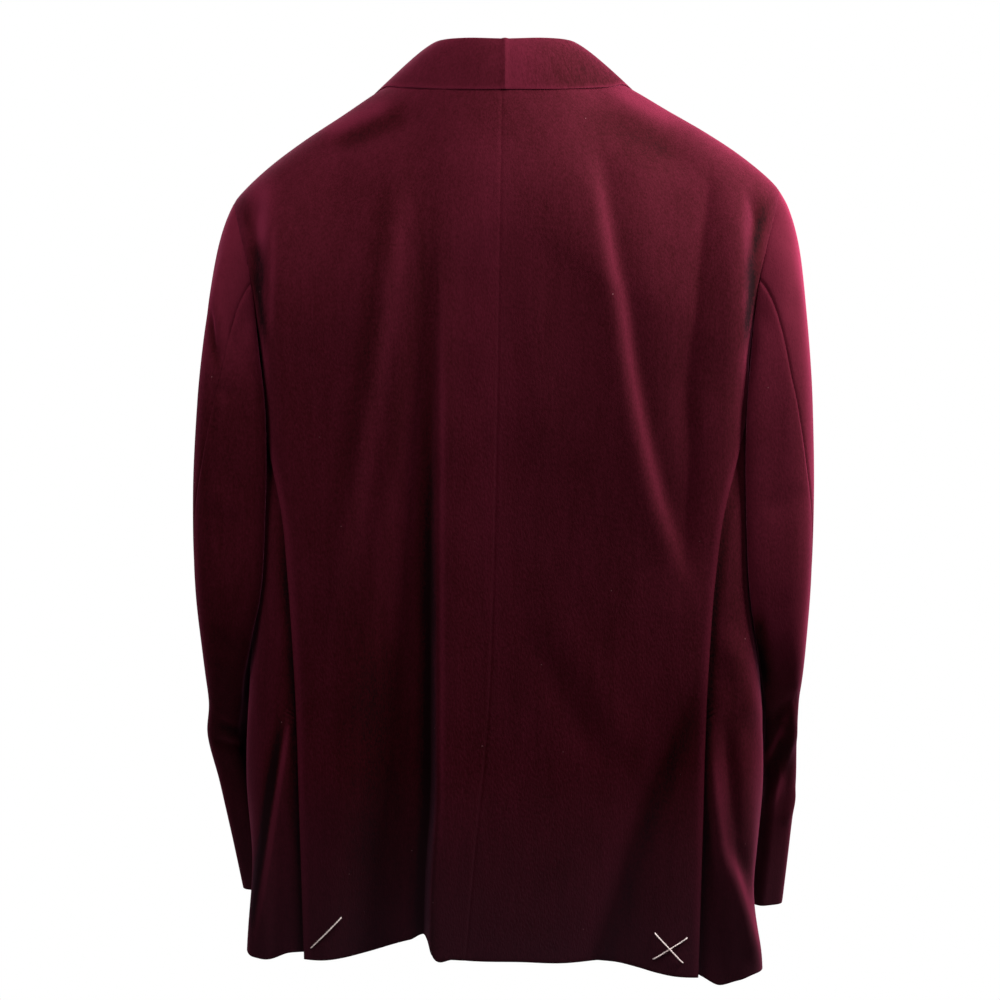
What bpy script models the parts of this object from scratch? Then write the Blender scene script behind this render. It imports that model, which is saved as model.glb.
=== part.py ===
"""Shawl-collared tuxedo jacket in velvet, standing hollow as if worn, with no wearer in it.

Metres, +Z up. The jacket's back faces -Y and its front +Y, so +X is the wearer's right.
The origin is midway between the two neck points, where the shoulders carry the jacket.
Every piece of cloth is an open surface, worked out from the tables below, with a Solidify wall.
"""

import math
from collections import namedtuple

import bpy
from mathutils import Vector

CLOTH = 0.0020  # velvet, its canvas and its facing together
SEAM_GAP = 0.0005  # between two pieces sewn edge to edge
LEFT, RIGHT = -1, 1

# The body as level sections, from the hem up to the neck.
BodySection = namedtuple("BodySection", "z half_width back_depth front_depth back_squareness")
BODY = [
    BodySection(-0.760, 0.2190, 0.096, 0.114, 5.0),
    BodySection(-0.660, 0.2160, 0.097, 0.114, 5.5),
    BodySection(-0.580, 0.2180, 0.099, 0.112, 6.0),
    BodySection(-0.500, 0.2135, 0.101, 0.109, 6.0),
    BodySection(-0.410, 0.2065, 0.104, 0.107, 6.0),
    BodySection(-0.330, 0.2070, 0.108, 0.112, 5.0),
    BodySection(-0.262, 0.2130, 0.112, 0.115, 4.0),
    BodySection(-0.200, 0.2225, 0.113, 0.113, 4.0),
    BodySection(-0.100, 0.2380, 0.111, 0.106, 4.0),
    BodySection(0.020, 0.2450, 0.111, 0.104, 4.0),
]
FRONT_SQUARENESS = 2.1  # of the front half of each section; 2 would make it an ellipse

# Outer edges of the back and the fronts: the armhole down to PIT_Z, and the side seams below.
PanelEdge = namedtuple("PanelEdge", "z back front")
EDGES = [
    PanelEdge(-0.760, 0.1660, 0.1560),
    PanelEdge(-0.600, 0.1695, 0.1620),
    PanelEdge(-0.510, 0.1715, 0.1660),
    PanelEdge(-0.447, 0.1745, 0.1700),
    PanelEdge(-0.400, 0.1775, 0.1740),
    PanelEdge(-0.354, 0.1815, 0.1785),
    PanelEdge(-0.300, 0.1920, 0.1850),
    PanelEdge(-0.262, 0.1990, 0.1900),
    PanelEdge(-0.235, 0.2005, 0.1915),
    PanelEdge(-0.210, 0.2035, 0.1940),
    PanelEdge(-0.167, 0.2110, 0.2030),
    PanelEdge(-0.142, 0.2165, 0.2110),
    PanelEdge(-0.115, 0.2225, 0.2200),
    PanelEdge(-0.090, 0.2285, 0.2285),
]
PIT_Z, PIT_DIP = -0.262, 0.006  # where the side panel starts, and how far its top edge dips

# The shoulder seam, out from the centre. Inside the neck point it is only a guide line.
ShoulderPoint = namedtuple("ShoulderPoint", "z out")
NECK_OUT, TIP_OUT = 0.076, 0.2285
SHOULDER = [
    ShoulderPoint(0.0360, -0.045),
    ShoulderPoint(0.0500, 0.000),
    ShoulderPoint(0.0360, 0.045),
    ShoulderPoint(0.0098, NECK_OUT),
    ShoulderPoint(-0.0065, 0.106),
    ShoulderPoint(-0.0245, 0.135),
    ShoulderPoint(-0.0445, 0.1675),
    ShoulderPoint(-0.0645, 0.196),
    ShoulderPoint(-0.0855, 0.2205),
    ShoulderPoint(-0.0940, TIP_OUT),
]
SHOULDER_ROLL = 0.17  # depth of the rounding over the shoulder
SHOULDER_BEND, SHOULDER_BEND_OUT = (1.7, 2.4), (0.125, 0.215)  # its squareness, at the neck and the tip
SHOULDER_FALL = {LEFT: 1.07, RIGHT: 0.94}  # the left shoulder hangs a little lower
NECK_BACK_Z = 0.002  # the neckline at the centre back

# The centre back seam and the three free edges below.
SeamPoint = namedtuple("SeamPoint", "z x")
CENTRE_BACK = [SeamPoint(-0.740, -0.034), SeamPoint(-0.630, -0.0245), SeamPoint(-0.520, -0.0138),
               SeamPoint(-0.390, -0.0089), SeamPoint(-0.120, -0.0040), SeamPoint(0.010, -0.0020)]
HemPoint = namedtuple("HemPoint", "z x")
BACK_HEM = [HemPoint(-0.7235, -0.176), HemPoint(-0.7245, -0.150), HemPoint(-0.7205, -0.115),
            HemPoint(-0.7145, -0.080), HemPoint(-0.7180, -0.058), HemPoint(-0.7190, 0.000),
            HemPoint(-0.7185, 0.040), HemPoint(-0.7165, 0.078), HemPoint(-0.7245, 0.111),
            HemPoint(-0.7330, 0.138), HemPoint(-0.7350, 0.176)]
SIDE_HEM = {LEFT: (-0.722, -0.735, -0.745), RIGHT: (-0.730, -0.756, -0.742)}  # back, middle, front
FRONT_HEM_Z, QUARTER_RISE, QUARTER_SHARE = -0.752, 0.060, 0.45  # the front corners are rounded off
FrontEdge = namedtuple("FrontEdge", "z x")
FRONT_EDGE = [
    FrontEdge(-0.760, 0.0600), FrontEdge(-0.725, 0.0420), FrontEdge(-0.690, 0.0240),
    FrontEdge(-0.630, 0.0020), FrontEdge(-0.550, -0.0120), FrontEdge(-0.470, -0.0170),
    FrontEdge(-0.425, -0.0145), FrontEdge(-0.400, -0.0060), FrontEdge(-0.375, 0.0030),
    FrontEdge(-0.330, 0.0105), FrontEdge(-0.260, 0.0225), FrontEdge(-0.180, 0.0380),
    FrontEdge(-0.100, 0.0540), FrontEdge(-0.050, 0.0650), FrontEdge(-0.020, 0.0710),
    FrontEdge(0.0098, NECK_OUT),
]
# The right front lies this far behind the left one, easing in below a height and out past the overlap.
OVERLAP_TUCK, OVERLAP_TOP_Z, OVERLAP_END_X = 0.0036, (-0.330, -0.360), (0.020, 0.050)
# The vents: the side panel steps in under the back at VENT_TOP_Z and laps behind it from there down.
VENT_TOP_Z, VENT_LAP, VENT_TUCK, VENT_STEP = -0.508, 0.034, 0.0045, 0.022
VENT_TUCK_ACROSS = (0.20, 0.30)  # across the side panel, where the tuck has run out
VENT_FREE_LENGTH = 0.08  # the back's edge is as free as its middle this far below the vent's top

# Folds of the back, as ridges (or troughs where height is negative) between two points.
Fold = namedtuple("Fold", "top_z top_x low_z low_x bow height left right")
BACK_FOLDS = [
    Fold(-0.040, -0.077, -0.460, -0.152, 0.004, 0.0055, 0.014, 0.015),
    Fold(-0.110, -0.112, -0.370, -0.158, -0.004, -0.0045, 0.015, 0.015),
    Fold(-0.030, 0.060, -0.450, 0.150, -0.010, 0.0085, 0.024, 0.012),
    Fold(-0.060, 0.088, -0.330, 0.138, -0.006, -0.0045, 0.012, 0.014),
    Fold(-0.080, 0.054, -0.460, 0.076, 0.000, -0.0030, 0.015, 0.013),
    Fold(-0.070, 0.160, -0.360, 0.153, 0.000, -0.0045, 0.012, 0.013),
    Fold(-0.070, 0.188, -0.340, 0.184, 0.000, 0.0030, 0.013, 0.010),
    Fold(-0.070, -0.188, -0.340, -0.184, 0.000, 0.0030, 0.010, 0.013),
    Fold(-0.470, 0.162, -0.990, -0.014, 0.000, -0.0065, 0.026, 0.018),
]
# The deep fold left of the centre: a steep riser along x, and a hollow of this depth and reach beside it.
DeepFold = namedtuple("DeepFold", "z x depth reach")
DEEP_FOLD = [DeepFold(-0.760, -0.0610, 0.028, 0.090), DeepFold(-0.650, -0.0605, 0.024, 0.080),
             DeepFold(-0.520, -0.0588, 0.018, 0.065), DeepFold(-0.380, -0.0555, 0.011, 0.045),
             DeepFold(-0.240, -0.0520, 0.006, 0.030), DeepFold(-0.120, -0.0520, 0.0, 0.024)]
DEEP_RISER, RISER_SHARES = 0.008, (0.25, 0.36)  # the riser's width, and its share of the panel's columns
FOLD_FADE = 4  # a fold rises and dies out over the first and the last quarter of its length
EDGE_CALM = 30  # power by which the folds die out towards a sewn edge
# The back stands out by HEM_SWELL at the hem, right of the deep fold, easing in over these spans.
HEM_SWELL, HEM_SWELL_Z, HEM_SWELL_X = 0.004, (-0.45, -0.70), (-0.10, -0.05)
# Beside the armholes the back folds in towards the seam, over these spans out from the middle and down.
ARMHOLE_DIP, ARMHOLE_DIP_X = 0.012, (0.190, 0.204)
ARMHOLE_DIP_TOP_Z, ARMHOLE_DIP_LOW_Z = (-0.075, -0.120), (-0.262, -0.215)
# Flare of the side panels below the vents: a ridge that runs forward as it falls, a hollow before it.
SideFlare = namedtuple("SideFlare", "z across height")
SIDE_FLARE = [SideFlare(-0.760, 0.40, 0.0085), SideFlare(-0.660, 0.30, 0.0070),
              SideFlare(-0.570, 0.20, 0.004), SideFlare(-0.490, 0.14, 0.0)]
FLARE_WIDTH, FLARE_HOLLOW_AT, FLARE_HOLLOW = 0.13, 0.27, 0.75
FLARE_ENDS = (0.06, 0.25)  # it dies out over these shares of the width, at the back and the front seam
HEM_LOW_AT, HEM_LEVEL_AT = 0.35, 0.75  # across a side panel, where its hem is lowest and where it levels

# Sleeves as level sections: half sizes across and front to back, and the turn of each section.
SleeveSection = namedtuple("SleeveSection", "z x y across along turn")
SLEEVE = [
    SleeveSection(-0.715, 0.2080, 0.104, 0.0180, 0.062, 22),
    SleeveSection(-0.640, 0.2185, 0.087, 0.0180, 0.064, 18),
    SleeveSection(-0.580, 0.2270, 0.069, 0.0180, 0.067, 14),
    SleeveSection(-0.520, 0.2356, 0.036, 0.0175, 0.080, 8),
    SleeveSection(-0.470, 0.2389, 0.012, 0.0199, 0.090, 3),
    SleeveSection(-0.420, 0.2395, 0.001, 0.0240, 0.092, 1),
    SleeveSection(-0.340, 0.2370, -0.002, 0.0268, 0.092, 1),
    SleeveSection(-0.262, 0.2310, -0.005, 0.0285, 0.092, 0),
    SleeveSection(-0.180, 0.2205, -0.005, 0.0310, 0.091, 0),
    SleeveSection(-0.085, 0.2130, -0.002, 0.0320, 0.084, 0),
]
# How much further out each sleeve hangs than that.
SleeveShift = namedtuple("SleeveShift", "z left right")
SLEEVE_SHIFT = [
    SleeveShift(-0.710, -0.0100, 0.0100),
    SleeveShift(-0.650, -0.0065, 0.0080),
    SleeveShift(-0.600, -0.0030, 0.0040),
    SleeveShift(-0.550, 0.0015, -0.0015),
    SleeveShift(-0.500, -0.0005, -0.0035),
    SleeveShift(-0.420, -0.0015, -0.0030),
    SleeveShift(-0.340, -0.0015, -0.0030),
    SleeveShift(-0.260, -0.0005, 0.0005),
    SleeveShift(-0.180, 0.0010, 0.0055),
    SleeveShift(-0.100, 0.0030, 0.0090),
]
CUFF_Z = {LEFT: -0.699, RIGHT: -0.714}
SLEEVE_ROUND, PRESSED_ROUND = 3.2, 5.0  # squareness of its sections, and of the inner edge behind
ELBOW_SHARE = 0.42  # the elbow's place, as a share of the way down
HEAD_FADE, HIND_FADE = 0.045, 0.020  # it leaves the armhole's shape over about this length, above and behind
HIND_FADE_FROM = (0.2, 0.9)  # between these sines of the way round from the top
ARMHOLE_GAP = (0.0008, 0.0052)  # clear of the armhole, at the shoulder and under the arm
# The two seams of a sleeve, as shares of the way round from the top, at the armhole, elbow and cuff.
HIND_SEAM, FORE_SEAM = (0.215, 0.055, 0.07), (0.67, 0.63, 0.60)
SEAM_STRAIGHT = 0.03  # share of the way down over which they first run straight

# The shawl collar: sections across it, from the centre back round the neck to the front of the shoulder.
# The neck seam runs on the neckline at neck_x, the roll line through points of its own. The free edge lies
# over the back at edge_x and edge_z, and in the last section on the shoulder seam.
CollarSection = namedtuple("CollarSection", "neck_x roll edge_x edge_z")
NECK_SECTIONS = [
    CollarSection(0.000, (0.000, -0.0610, 0.0335), 0.000, -0.0100),
    CollarSection(0.034, (0.032, -0.0530, 0.0345), 0.046, -0.0105),
    CollarSection(0.060, (0.054, -0.0310, 0.0335), 0.083, -0.0095),
    CollarSection(0.0745, (0.062, 0.0030, 0.0285), 0.1025, 0.0),
]
COLLAR_LIFT = 0.0045  # the free edge's middle surface from the back's
NECK_SEAM_RISE = 0.0012
# Then the lapel, laid on the front: its roll line follows the front's edge, its free edge runs here.
LapelSection = namedtuple("LapelSection", "roll_z edge_z edge_x")
LAPEL_SECTIONS = [
    LapelSection(-0.004, -0.026, 0.1200),
    LapelSection(-0.045, -0.070, 0.1370),
    LapelSection(-0.100, -0.128, 0.1410),
    LapelSection(-0.180, -0.202, 0.1240),
    LapelSection(-0.255, -0.272, 0.0900),
    LapelSection(-0.310, -0.322, 0.0560),
    LapelSection(-0.345, -0.354, 0.0190),
]
LAPEL_SEAM = 0.0012  # the lapel's inner edge from the front's edge
LAPEL_LIFT, ROLL_LIFT, ROLL_IN = 0.0042, 0.0060, 0.004
FALL_BELLY, FALL_BELLY_AT, FALL_BELLY_SHARE = 0.0055, 0.28, 0.25  # swell of the fall, its place and its most
NECK_ROLL_RISE, NECK_ROLL_LENGTH = 0.014, 0.10  # the lapel's roll line climbs towards the neck
ROLL_SLOPE_STEP = 0.02  # step along the collar over which the roll line's direction is taken
BUTTON_Z, BUTTON_RADIUS, BUTTON_HEIGHT, BUTTON_FLAT = -0.415, 0.010, 0.0042, 0.35

# Rows of a body panel: close under the shoulder seam, then even down to the hem.
TOP_DROPS = (0.0, 0.0015, 0.006, 0.015, 0.030, 0.050)
BODY_ROWS, SIDE_ROWS, SLEEVE_ROWS, COLLAR_ROWS = 20, 8, 22, 30
SLEEVE_ROW_POWER = 1.25  # rows lie closer towards the armhole
LEFT_BACK_COLUMNS = (0, 0.12, 0.25, 0.29, 0.33, 0.36, 0.42, 0.50,
                     0.57, 0.64, 0.72, 0.80, 0.86, 0.91, 0.955, 1)
RIGHT_BACK_COLUMNS = (0, 0.10, 0.19, 0.27, 0.34, 0.40, 0.46, 0.52,
                      0.58, 0.65, 0.73, 0.80, 0.86, 0.91, 0.955, 1)
FRONT_COLUMNS = (0, 0.03, 0.08, 0.15, 0.24, 0.34, 0.45, 0.56, 0.67, 0.78, 0.88, 0.95, 1)
SIDE_COLUMNS, UNDER_SLEEVE_COLUMNS = 10, 10
TOP_SLEEVE_COLUMNS = (0, 0.03, 0.10, 0.20, 0.31, 0.42, 0.52, 0.59, 0.63,
                      0.66, 0.69, 0.73, 0.80, 0.88, 0.96, 1)  # close at the seams and at the shoulder tip
FALL_COLUMNS = (0, 0.1, 0.3, 0.55, 0.8, 1)
SIDE_WIDTH, SLEEVE_WIDTH = 0.12, 0.15  # about how wide these panels are, to take off half a seam gap
ARMHOLE_STEPS, UNDERARM_STEPS = 40, 20
TOP_ROUNDS = 12  # rounds of working out where a slanting column meets the shoulder seam
WIDEST = 0.999  # share of the half width at which a section's depth is held


def lerp(a, b, share):
    return a + (b - a) * share


def smoothstep(share):
    share = min(max(share, 0.0), 1.0)
    return share * share * (3 - 2 * share)


def ramp(at, start, end):
    """0 up to start, easing to 1 at end."""
    return smoothstep((at - start) / (end - start))


def along(table, column, at, by="z"):
    """A column of a table at a height, or at another column, on a smooth curve through its rows."""
    rows = sorted(table, key=lambda row: getattr(row, by))
    places = [getattr(row, by) for row in rows]
    values = [getattr(row, column) for row in rows]
    if at <= places[0]:
        return values[0]
    if at >= places[-1]:
        return values[-1]
    i = next(k for k in range(len(places) - 1) if places[k + 1] >= at)
    steps = [(values[k + 1] - values[k]) / (places[k + 1] - places[k]) for k in range(len(places) - 1)]
    slope = [steps[max(k - 1, 0)] / 2 + steps[min(k, len(steps) - 1)] / 2 for k in (i, i + 1)]
    gap = places[i + 1] - places[i]
    t = (at - places[i]) / gap
    return (values[i] * (1 + 2 * t) * (1 - t) ** 2 + values[i + 1] * t * t * (3 - 2 * t)
            + gap * (slope[0] * t * (1 - t) ** 2 - slope[1] * t * t * (1 - t)))


def shoulder_height(out, side):
    """Height of the shoulder seam, or of its guide line inside the neck, this far out."""
    neck_z = along(SHOULDER, "z", NECK_OUT, by="out")
    height = along(SHOULDER, "z", out, by="out")
    return height if out < NECK_OUT else neck_z + (height - neck_z) * SHOULDER_FALL[side]


def section_depth(x, z, depth, squareness):
    """How far the back or the front half of a level section stands from the middle at x."""
    ratio = min(abs(x) / along(BODY, "half_width", z), WIDEST)
    return along(BODY, depth, z) * (1 - ratio**squareness) ** (1 / squareness)


def over_shoulder(x, z):
    """1 on the flat of the back or chest, falling to 0 at the shoulder seam."""
    drop = shoulder_height(abs(x), LEFT if x < 0 else RIGHT) - z
    share = min(max(drop / SHOULDER_ROLL, 0.0), 1.0)
    bend = lerp(*SHOULDER_BEND, ramp(abs(x), *SHOULDER_BEND_OUT))
    return (1 - (1 - share) ** bend) ** (1 / bend)


def fold_height(folds, x, z):
    """Sum of the ridges and troughs at a point of the back."""
    total = 0.0
    for fold in folds:
        share = (fold.top_z - z) / (fold.top_z - fold.low_z)
        if 0 < share < 1:
            crest = lerp(fold.top_x, fold.low_x, share) + fold.bow * math.sin(math.pi * share)
            width = fold.left if x < crest else fold.right
            fade = smoothstep(FOLD_FADE * share) * smoothstep(FOLD_FADE * (1 - share))
            total += fold.height * fade * math.exp(-(((x - crest) / width) ** 2))
    return total


def deep_fold(x, z):
    """Depth of the hollow left of the deep fold's steep riser."""
    past = along(DEEP_FOLD, "x", z) - x
    if past <= 0:
        return 0.0
    reach = along(DEEP_FOLD, "reach", z)
    back_up = 1 - smoothstep((past - DEEP_RISER) / reach)
    return along(DEEP_FOLD, "depth", z) * min(smoothstep(past / DEEP_RISER), back_up)


def back_point(x, z):
    """A point of the back's middle surface."""
    out = section_depth(x, z, "back_depth", along(BODY, "back_squareness", z)) * over_shoulder(x, z)
    edge = along(EDGES, "back", z)
    free = ramp(z, VENT_TOP_Z, VENT_TOP_Z - VENT_FREE_LENGTH)
    calm = max(1 - (abs(x) / edge) ** EDGE_CALM, free)
    swell = HEM_SWELL * ramp(z, *HEM_SWELL_Z) * ramp(x, *HEM_SWELL_X)
    beside_armhole = ramp(abs(x), *ARMHOLE_DIP_X) * ramp(z, *ARMHOLE_DIP_TOP_Z) * ramp(z, *ARMHOLE_DIP_LOW_Z)
    out += calm * (fold_height(BACK_FOLDS, x, z) + swell) - deep_fold(x, z) - ARMHOLE_DIP * beside_armhole
    return Vector((x, -out, z))


def front_point(x, z, side):
    """A point of a front's middle surface; the right front is tucked behind the left at the overlap."""
    out = section_depth(x, z, "front_depth", FRONT_SQUARENESS) * over_shoulder(x, z)
    if side == RIGHT:
        out -= OVERLAP_TUCK * (1 - ramp(x, *OVERLAP_END_X)) * ramp(z, *OVERLAP_TOP_Z)
    return Vector((x, out, z))


def outward(x, y, z):
    """The level direction straight out from the body at a point."""
    depth = along(BODY, "back_depth" if y < 0 else "front_depth", z)
    return Vector((x / along(BODY, "half_width", z) ** 2, y / depth**2, 0)).normalized()


def side_point(across, z, side):
    """A point of a side panel, across it from the back seam (0) to the front seam (1)."""
    half_width = along(BODY, "half_width", z)
    lapped = along(EDGES, "back", z) - VENT_LAP * ramp(z, VENT_TOP_Z, VENT_TOP_Z - VENT_STEP)
    back_squareness = along(BODY, "back_squareness", z)
    start = math.acos((lapped / half_width) ** (back_squareness / 2))
    end = math.acos((along(EDGES, "front", z) / half_width) ** (FRONT_SQUARENESS / 2))
    angle = lerp(start, -end, across)
    squareness = back_squareness if angle > 0 else FRONT_SQUARENESS
    depth = along(BODY, "back_depth" if angle > 0 else "front_depth", z)
    x = half_width * math.cos(angle) ** (2 / squareness)
    y = -math.copysign(depth * math.sin(abs(angle)) ** (2 / squareness), angle)
    crest = along(SIDE_FLARE, "across", z)
    flare = math.exp(-(((across - crest) / FLARE_WIDTH) ** 2))
    flare -= FLARE_HOLLOW * math.exp(-(((across - crest - FLARE_HOLLOW_AT) / FLARE_WIDTH) ** 2))
    seamed = ramp(across, 0, FLARE_ENDS[0]) * ramp(across, 1, 1 - FLARE_ENDS[1])
    tucked = ramp(z, VENT_TOP_Z + VENT_STEP, VENT_TOP_Z) * (1 - ramp(across, *VENT_TUCK_ACROSS))
    point = Vector((x, y, z))
    point += outward(x, y, z) * (along(SIDE_FLARE, "height", z) * flare * seamed - VENT_TUCK * tucked)
    point.x *= side
    if tucked and abs(point.x) < along(EDGES, "back", z):
        point.y = max(point.y, back_point(point.x, z).y + VENT_TUCK * tucked)
    return point


def panel_rows(top_z, hem_z, rows):
    """Heights of a column of a body panel: close together under the top, then even."""
    last = top_z - TOP_DROPS[-1]
    return [top_z - drop for drop in TOP_DROPS] + [lerp(last, hem_z, share) for share in even(rows)[1:]]


def even(count):
    return [k / count for k in range(count + 1)]


def crowded(count):
    """Shares that lie closer together towards both ends."""
    return [(1 - math.cos(math.pi * k / count)) / 2 for k in range(count + 1)]


def inset(shares, width, low=True, high=True):
    """Shares of a width with half a seam gap taken off the ends."""
    trim = SEAM_GAP / 2 / width
    return [min(max(s, trim if low else 0), 1 - trim if high else 1) for s in shares]


def back_x(share, z, side):
    """Across a back panel, from the centre seam (0) to the armhole or the side seam (1)."""
    seam, edge = along(CENTRE_BACK, "x", z), side * along(EDGES, "back", z)
    if side == RIGHT:
        return lerp(seam, edge, share)
    crest, (start, end) = along(DEEP_FOLD, "x", z), RISER_SHARES
    if share < start:
        return lerp(seam, crest, share / start)
    if share < end:
        return lerp(crest, crest - DEEP_RISER, (share - start) / (end - start))
    return lerp(crest - DEEP_RISER, edge, (share - end) / (1 - end))


def front_x(share, z, side):
    """Across a front, from its free edge or roll line (0) to the armhole or the side seam (1)."""
    return side * lerp(along(FRONT_EDGE, "x", z), along(EDGES, "front", z), share)


def neckline(out, side):
    """Height of the back's neckline, this far out from the centre."""
    return lerp(NECK_BACK_Z, shoulder_height(NECK_OUT, side), (out / NECK_OUT) ** 2)


def top_height(across, share, side):
    """Where a column of a back or a front meets the neckline or the shoulder seam."""
    z = 0.0
    for _ in range(TOP_ROUNDS):
        out = abs(across(share, z, side))
        z = shoulder_height(out, side)
        if out < NECK_OUT:
            z = neckline(out, side)
    return z


def back_grid(side):
    columns = LEFT_BACK_COLUMNS if side == LEFT else RIGHT_BACK_COLUMNS
    grid = []
    for share in inset(columns, TIP_OUT):
        top = top_height(back_x, share, side)
        hem = along(BACK_HEM, "z", back_x(share, CENTRE_BACK[0].z, side), by="x")
        points = [back_point(back_x(share, z, side), z) for z in panel_rows(top, hem, BODY_ROWS)]
        grid.append([Vector((p.x, min(p.y, -SEAM_GAP), p.z)) for p in points])
    return grid


def front_grid(side):
    grid = []
    for share in inset(FRONT_COLUMNS, TIP_OUT - NECK_OUT):
        top = top_height(front_x, share, side)
        inward = max(1 - share / QUARTER_SHARE, 0)
        hem = FRONT_HEM_Z + QUARTER_RISE * (1 - math.sqrt(1 - inward**2))
        points = [front_point(front_x(share, z, side), z, side) for z in panel_rows(top, hem, BODY_ROWS)]
        grid.append([Vector((p.x, max(p.y, SEAM_GAP), p.z)) for p in points])
    return grid


def side_grid(side):
    grid = []
    back, middle, front = SIDE_HEM[side]
    for share in inset(even(SIDE_COLUMNS), SIDE_WIDTH):
        top = PIT_Z - PIT_DIP * math.sin(math.pi * share) - SEAM_GAP
        hem = lerp(back, middle, ramp(share, 0, HEM_LOW_AT))
        hem = lerp(hem, front, ramp(share, HEM_LOW_AT, HEM_LEVEL_AT))
        heights = [lerp(top, VENT_TOP_Z + VENT_STEP, k) for k in even(SIDE_ROWS)]
        heights += [VENT_TOP_Z, VENT_TOP_Z - VENT_STEP / 2]
        heights += [lerp(VENT_TOP_Z - VENT_STEP, hem, k) for k in even(SIDE_ROWS)]
        grid.append([side_point(share, z, side) for z in heights])
    return grid


def armhole_loop(side):
    """Points round an armhole: from the shoulder down the back edge, under the arm, up the front edge."""
    tip_z = shoulder_height(TIP_OUT, side)
    down = [lerp(tip_z, PIT_Z, k * k) for k in even(ARMHOLE_STEPS)]
    back = [back_point(side * along(EDGES, "back", z), z) for z in down]
    dips = [(k, PIT_Z - PIT_DIP * math.sin(math.pi * k)) for k in even(UNDERARM_STEPS)[1:-1]]
    under = [side_point(across, z, side) for across, z in dips]
    front = [front_point(side * along(EDGES, "front", z), z, side) for z in reversed(down)]
    return back + under + front


def walk(points, share):
    """The point this share of the way along a polyline."""
    lengths = [0.0]
    for a, b in zip(points, points[1:]):
        lengths.append(lengths[-1] + (b - a).length)
    at = share * lengths[-1]
    i = next((k for k in range(len(points) - 1) if lengths[k + 1] >= at), len(points) - 2)
    return points[i].lerp(points[i + 1], (at - lengths[i]) / max(lengths[i + 1] - lengths[i], 1e-9))


def sleeve_section_point(round_share, z, side):
    """A point of a sleeve's plain section; 0 is its outer side and 0.25 its back."""
    angle = 2 * math.pi * round_share
    across, lengthwise = math.cos(angle), -math.sin(angle)
    power = 2 / (PRESSED_ROUND if across < 0 and lengthwise < 0 else SLEEVE_ROUND)
    across = math.copysign(abs(across) ** power, across) * along(SLEEVE, "across", z)
    lengthwise = math.copysign(abs(lengthwise) ** power, lengthwise) * along(SLEEVE, "along", z)
    turn = math.radians(along(SLEEVE, "turn", z))
    shift = along(SLEEVE_SHIFT, "left" if side == LEFT else "right", z)
    x = along(SLEEVE, "x", z) + shift + across * math.cos(turn) - lengthwise * math.sin(turn)
    y = along(SLEEVE, "y", z) + across * math.sin(turn) + lengthwise * math.cos(turn)
    return Vector((side * x, y, z))


def sleeve_point(loop, round_share, down, side):
    """A point of a sleeve, this share of the way down from its armhole point to the cuff."""
    start = walk(loop, round_share % 1.0).copy()
    under = (1 - math.cos(2 * math.pi * round_share)) / 2
    start += outward(*start) * lerp(*ARMHOLE_GAP, smoothstep(under))
    z = lerp(start.z, CUFF_Z[side], down)
    offset = start - sleeve_section_point(round_share, start.z, side)
    fade = lerp(HEAD_FADE, HIND_FADE, ramp(math.sin(2 * math.pi * round_share), *HIND_FADE_FROM))
    return sleeve_section_point(round_share, z, side) + offset * math.exp(-(start.z - z) / fade)


def seam_share(seam, down):
    """Where a sleeve seam lies, from its places at the armhole, the elbow and the cuff."""
    top, elbow, cuff = seam
    if down < ELBOW_SHARE:
        return lerp(top, elbow, ramp(down, SEAM_STRAIGHT, ELBOW_SHARE))
    return lerp(elbow, cuff, (down - ELBOW_SHARE) / (1 - ELBOW_SHARE))


def sleeve_grid(side, part):
    loop = armhole_loop(side)
    rows = [k**SLEEVE_ROW_POWER for k in even(SLEEVE_ROWS)]
    columns = TOP_SLEEVE_COLUMNS if part == "top" else crowded(UNDER_SLEEVE_COLUMNS)
    grid = []
    for share in inset(columns, SLEEVE_WIDTH):
        column = []
        for down in rows:
            hind, fore = seam_share(HIND_SEAM, down), seam_share(FORE_SEAM, down)
            ends = (hind, fore) if part == "under" else (fore, 1 + hind)
            column.append(sleeve_point(loop, lerp(*ends, share), down, side))
        grid.append(column)
    return grid


def collar_sections(side):
    """Neck seam, roll line and free edge of each section, from the centre back to the lapel's tip."""
    sections = []
    for section in NECK_SECTIONS:
        neck = back_point(side * section.neck_x, neckline(section.neck_x, side) + NECK_SEAM_RISE)
        roll_x, roll_y, roll_z = section.roll
        edge_z = min(section.edge_z, shoulder_height(section.edge_x, side))
        edge = back_point(side * section.edge_x, edge_z)
        edge += Vector((0, -1, 1 - over_shoulder(edge.x, edge.z))) * COLLAR_LIFT
        sections.append([neck, Vector((side * roll_x, roll_y, roll_z)), edge])
    for lapel in LAPEL_SECTIONS:
        inner = along(FRONT_EDGE, "x", lapel.roll_z) - LAPEL_SEAM
        neck = front_point(side * inner, lapel.roll_z, side)
        rise = NECK_ROLL_RISE * ramp(lapel.roll_z, -NECK_ROLL_LENGTH, 0)
        roll = front_point(side * (inner - ROLL_IN), lapel.roll_z, side) + Vector((0, ROLL_LIFT, rise))
        edge = front_point(side * lapel.edge_x, lapel.edge_z, side)
        edge += Vector((0, 1, 1 - over_shoulder(edge.x, edge.z))) * LAPEL_LIFT
        sections.append([neck, roll, edge])
    mirrored = [Vector((-point.x, point.y, point.z)) for point in sections[1]]
    return [mirrored] + sections


def curve_through(points, share):
    """A point on a smooth curve through a list of points, of which the first only sets its start's slope."""
    at = 1 + share * (len(points) - 2)
    i = min(int(at), len(points) - 2)
    before, a, b, after = (points[min(max(i + k, 0), len(points) - 1)] for k in (-1, 0, 1, 2))
    t = at - i
    return (a * 2 + (b - before) * t + (before * 2 - a * 5 + b * 4 - after) * t * t
            + (a * 3 - before - b * 3 + after) * t**3) / 2


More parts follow.
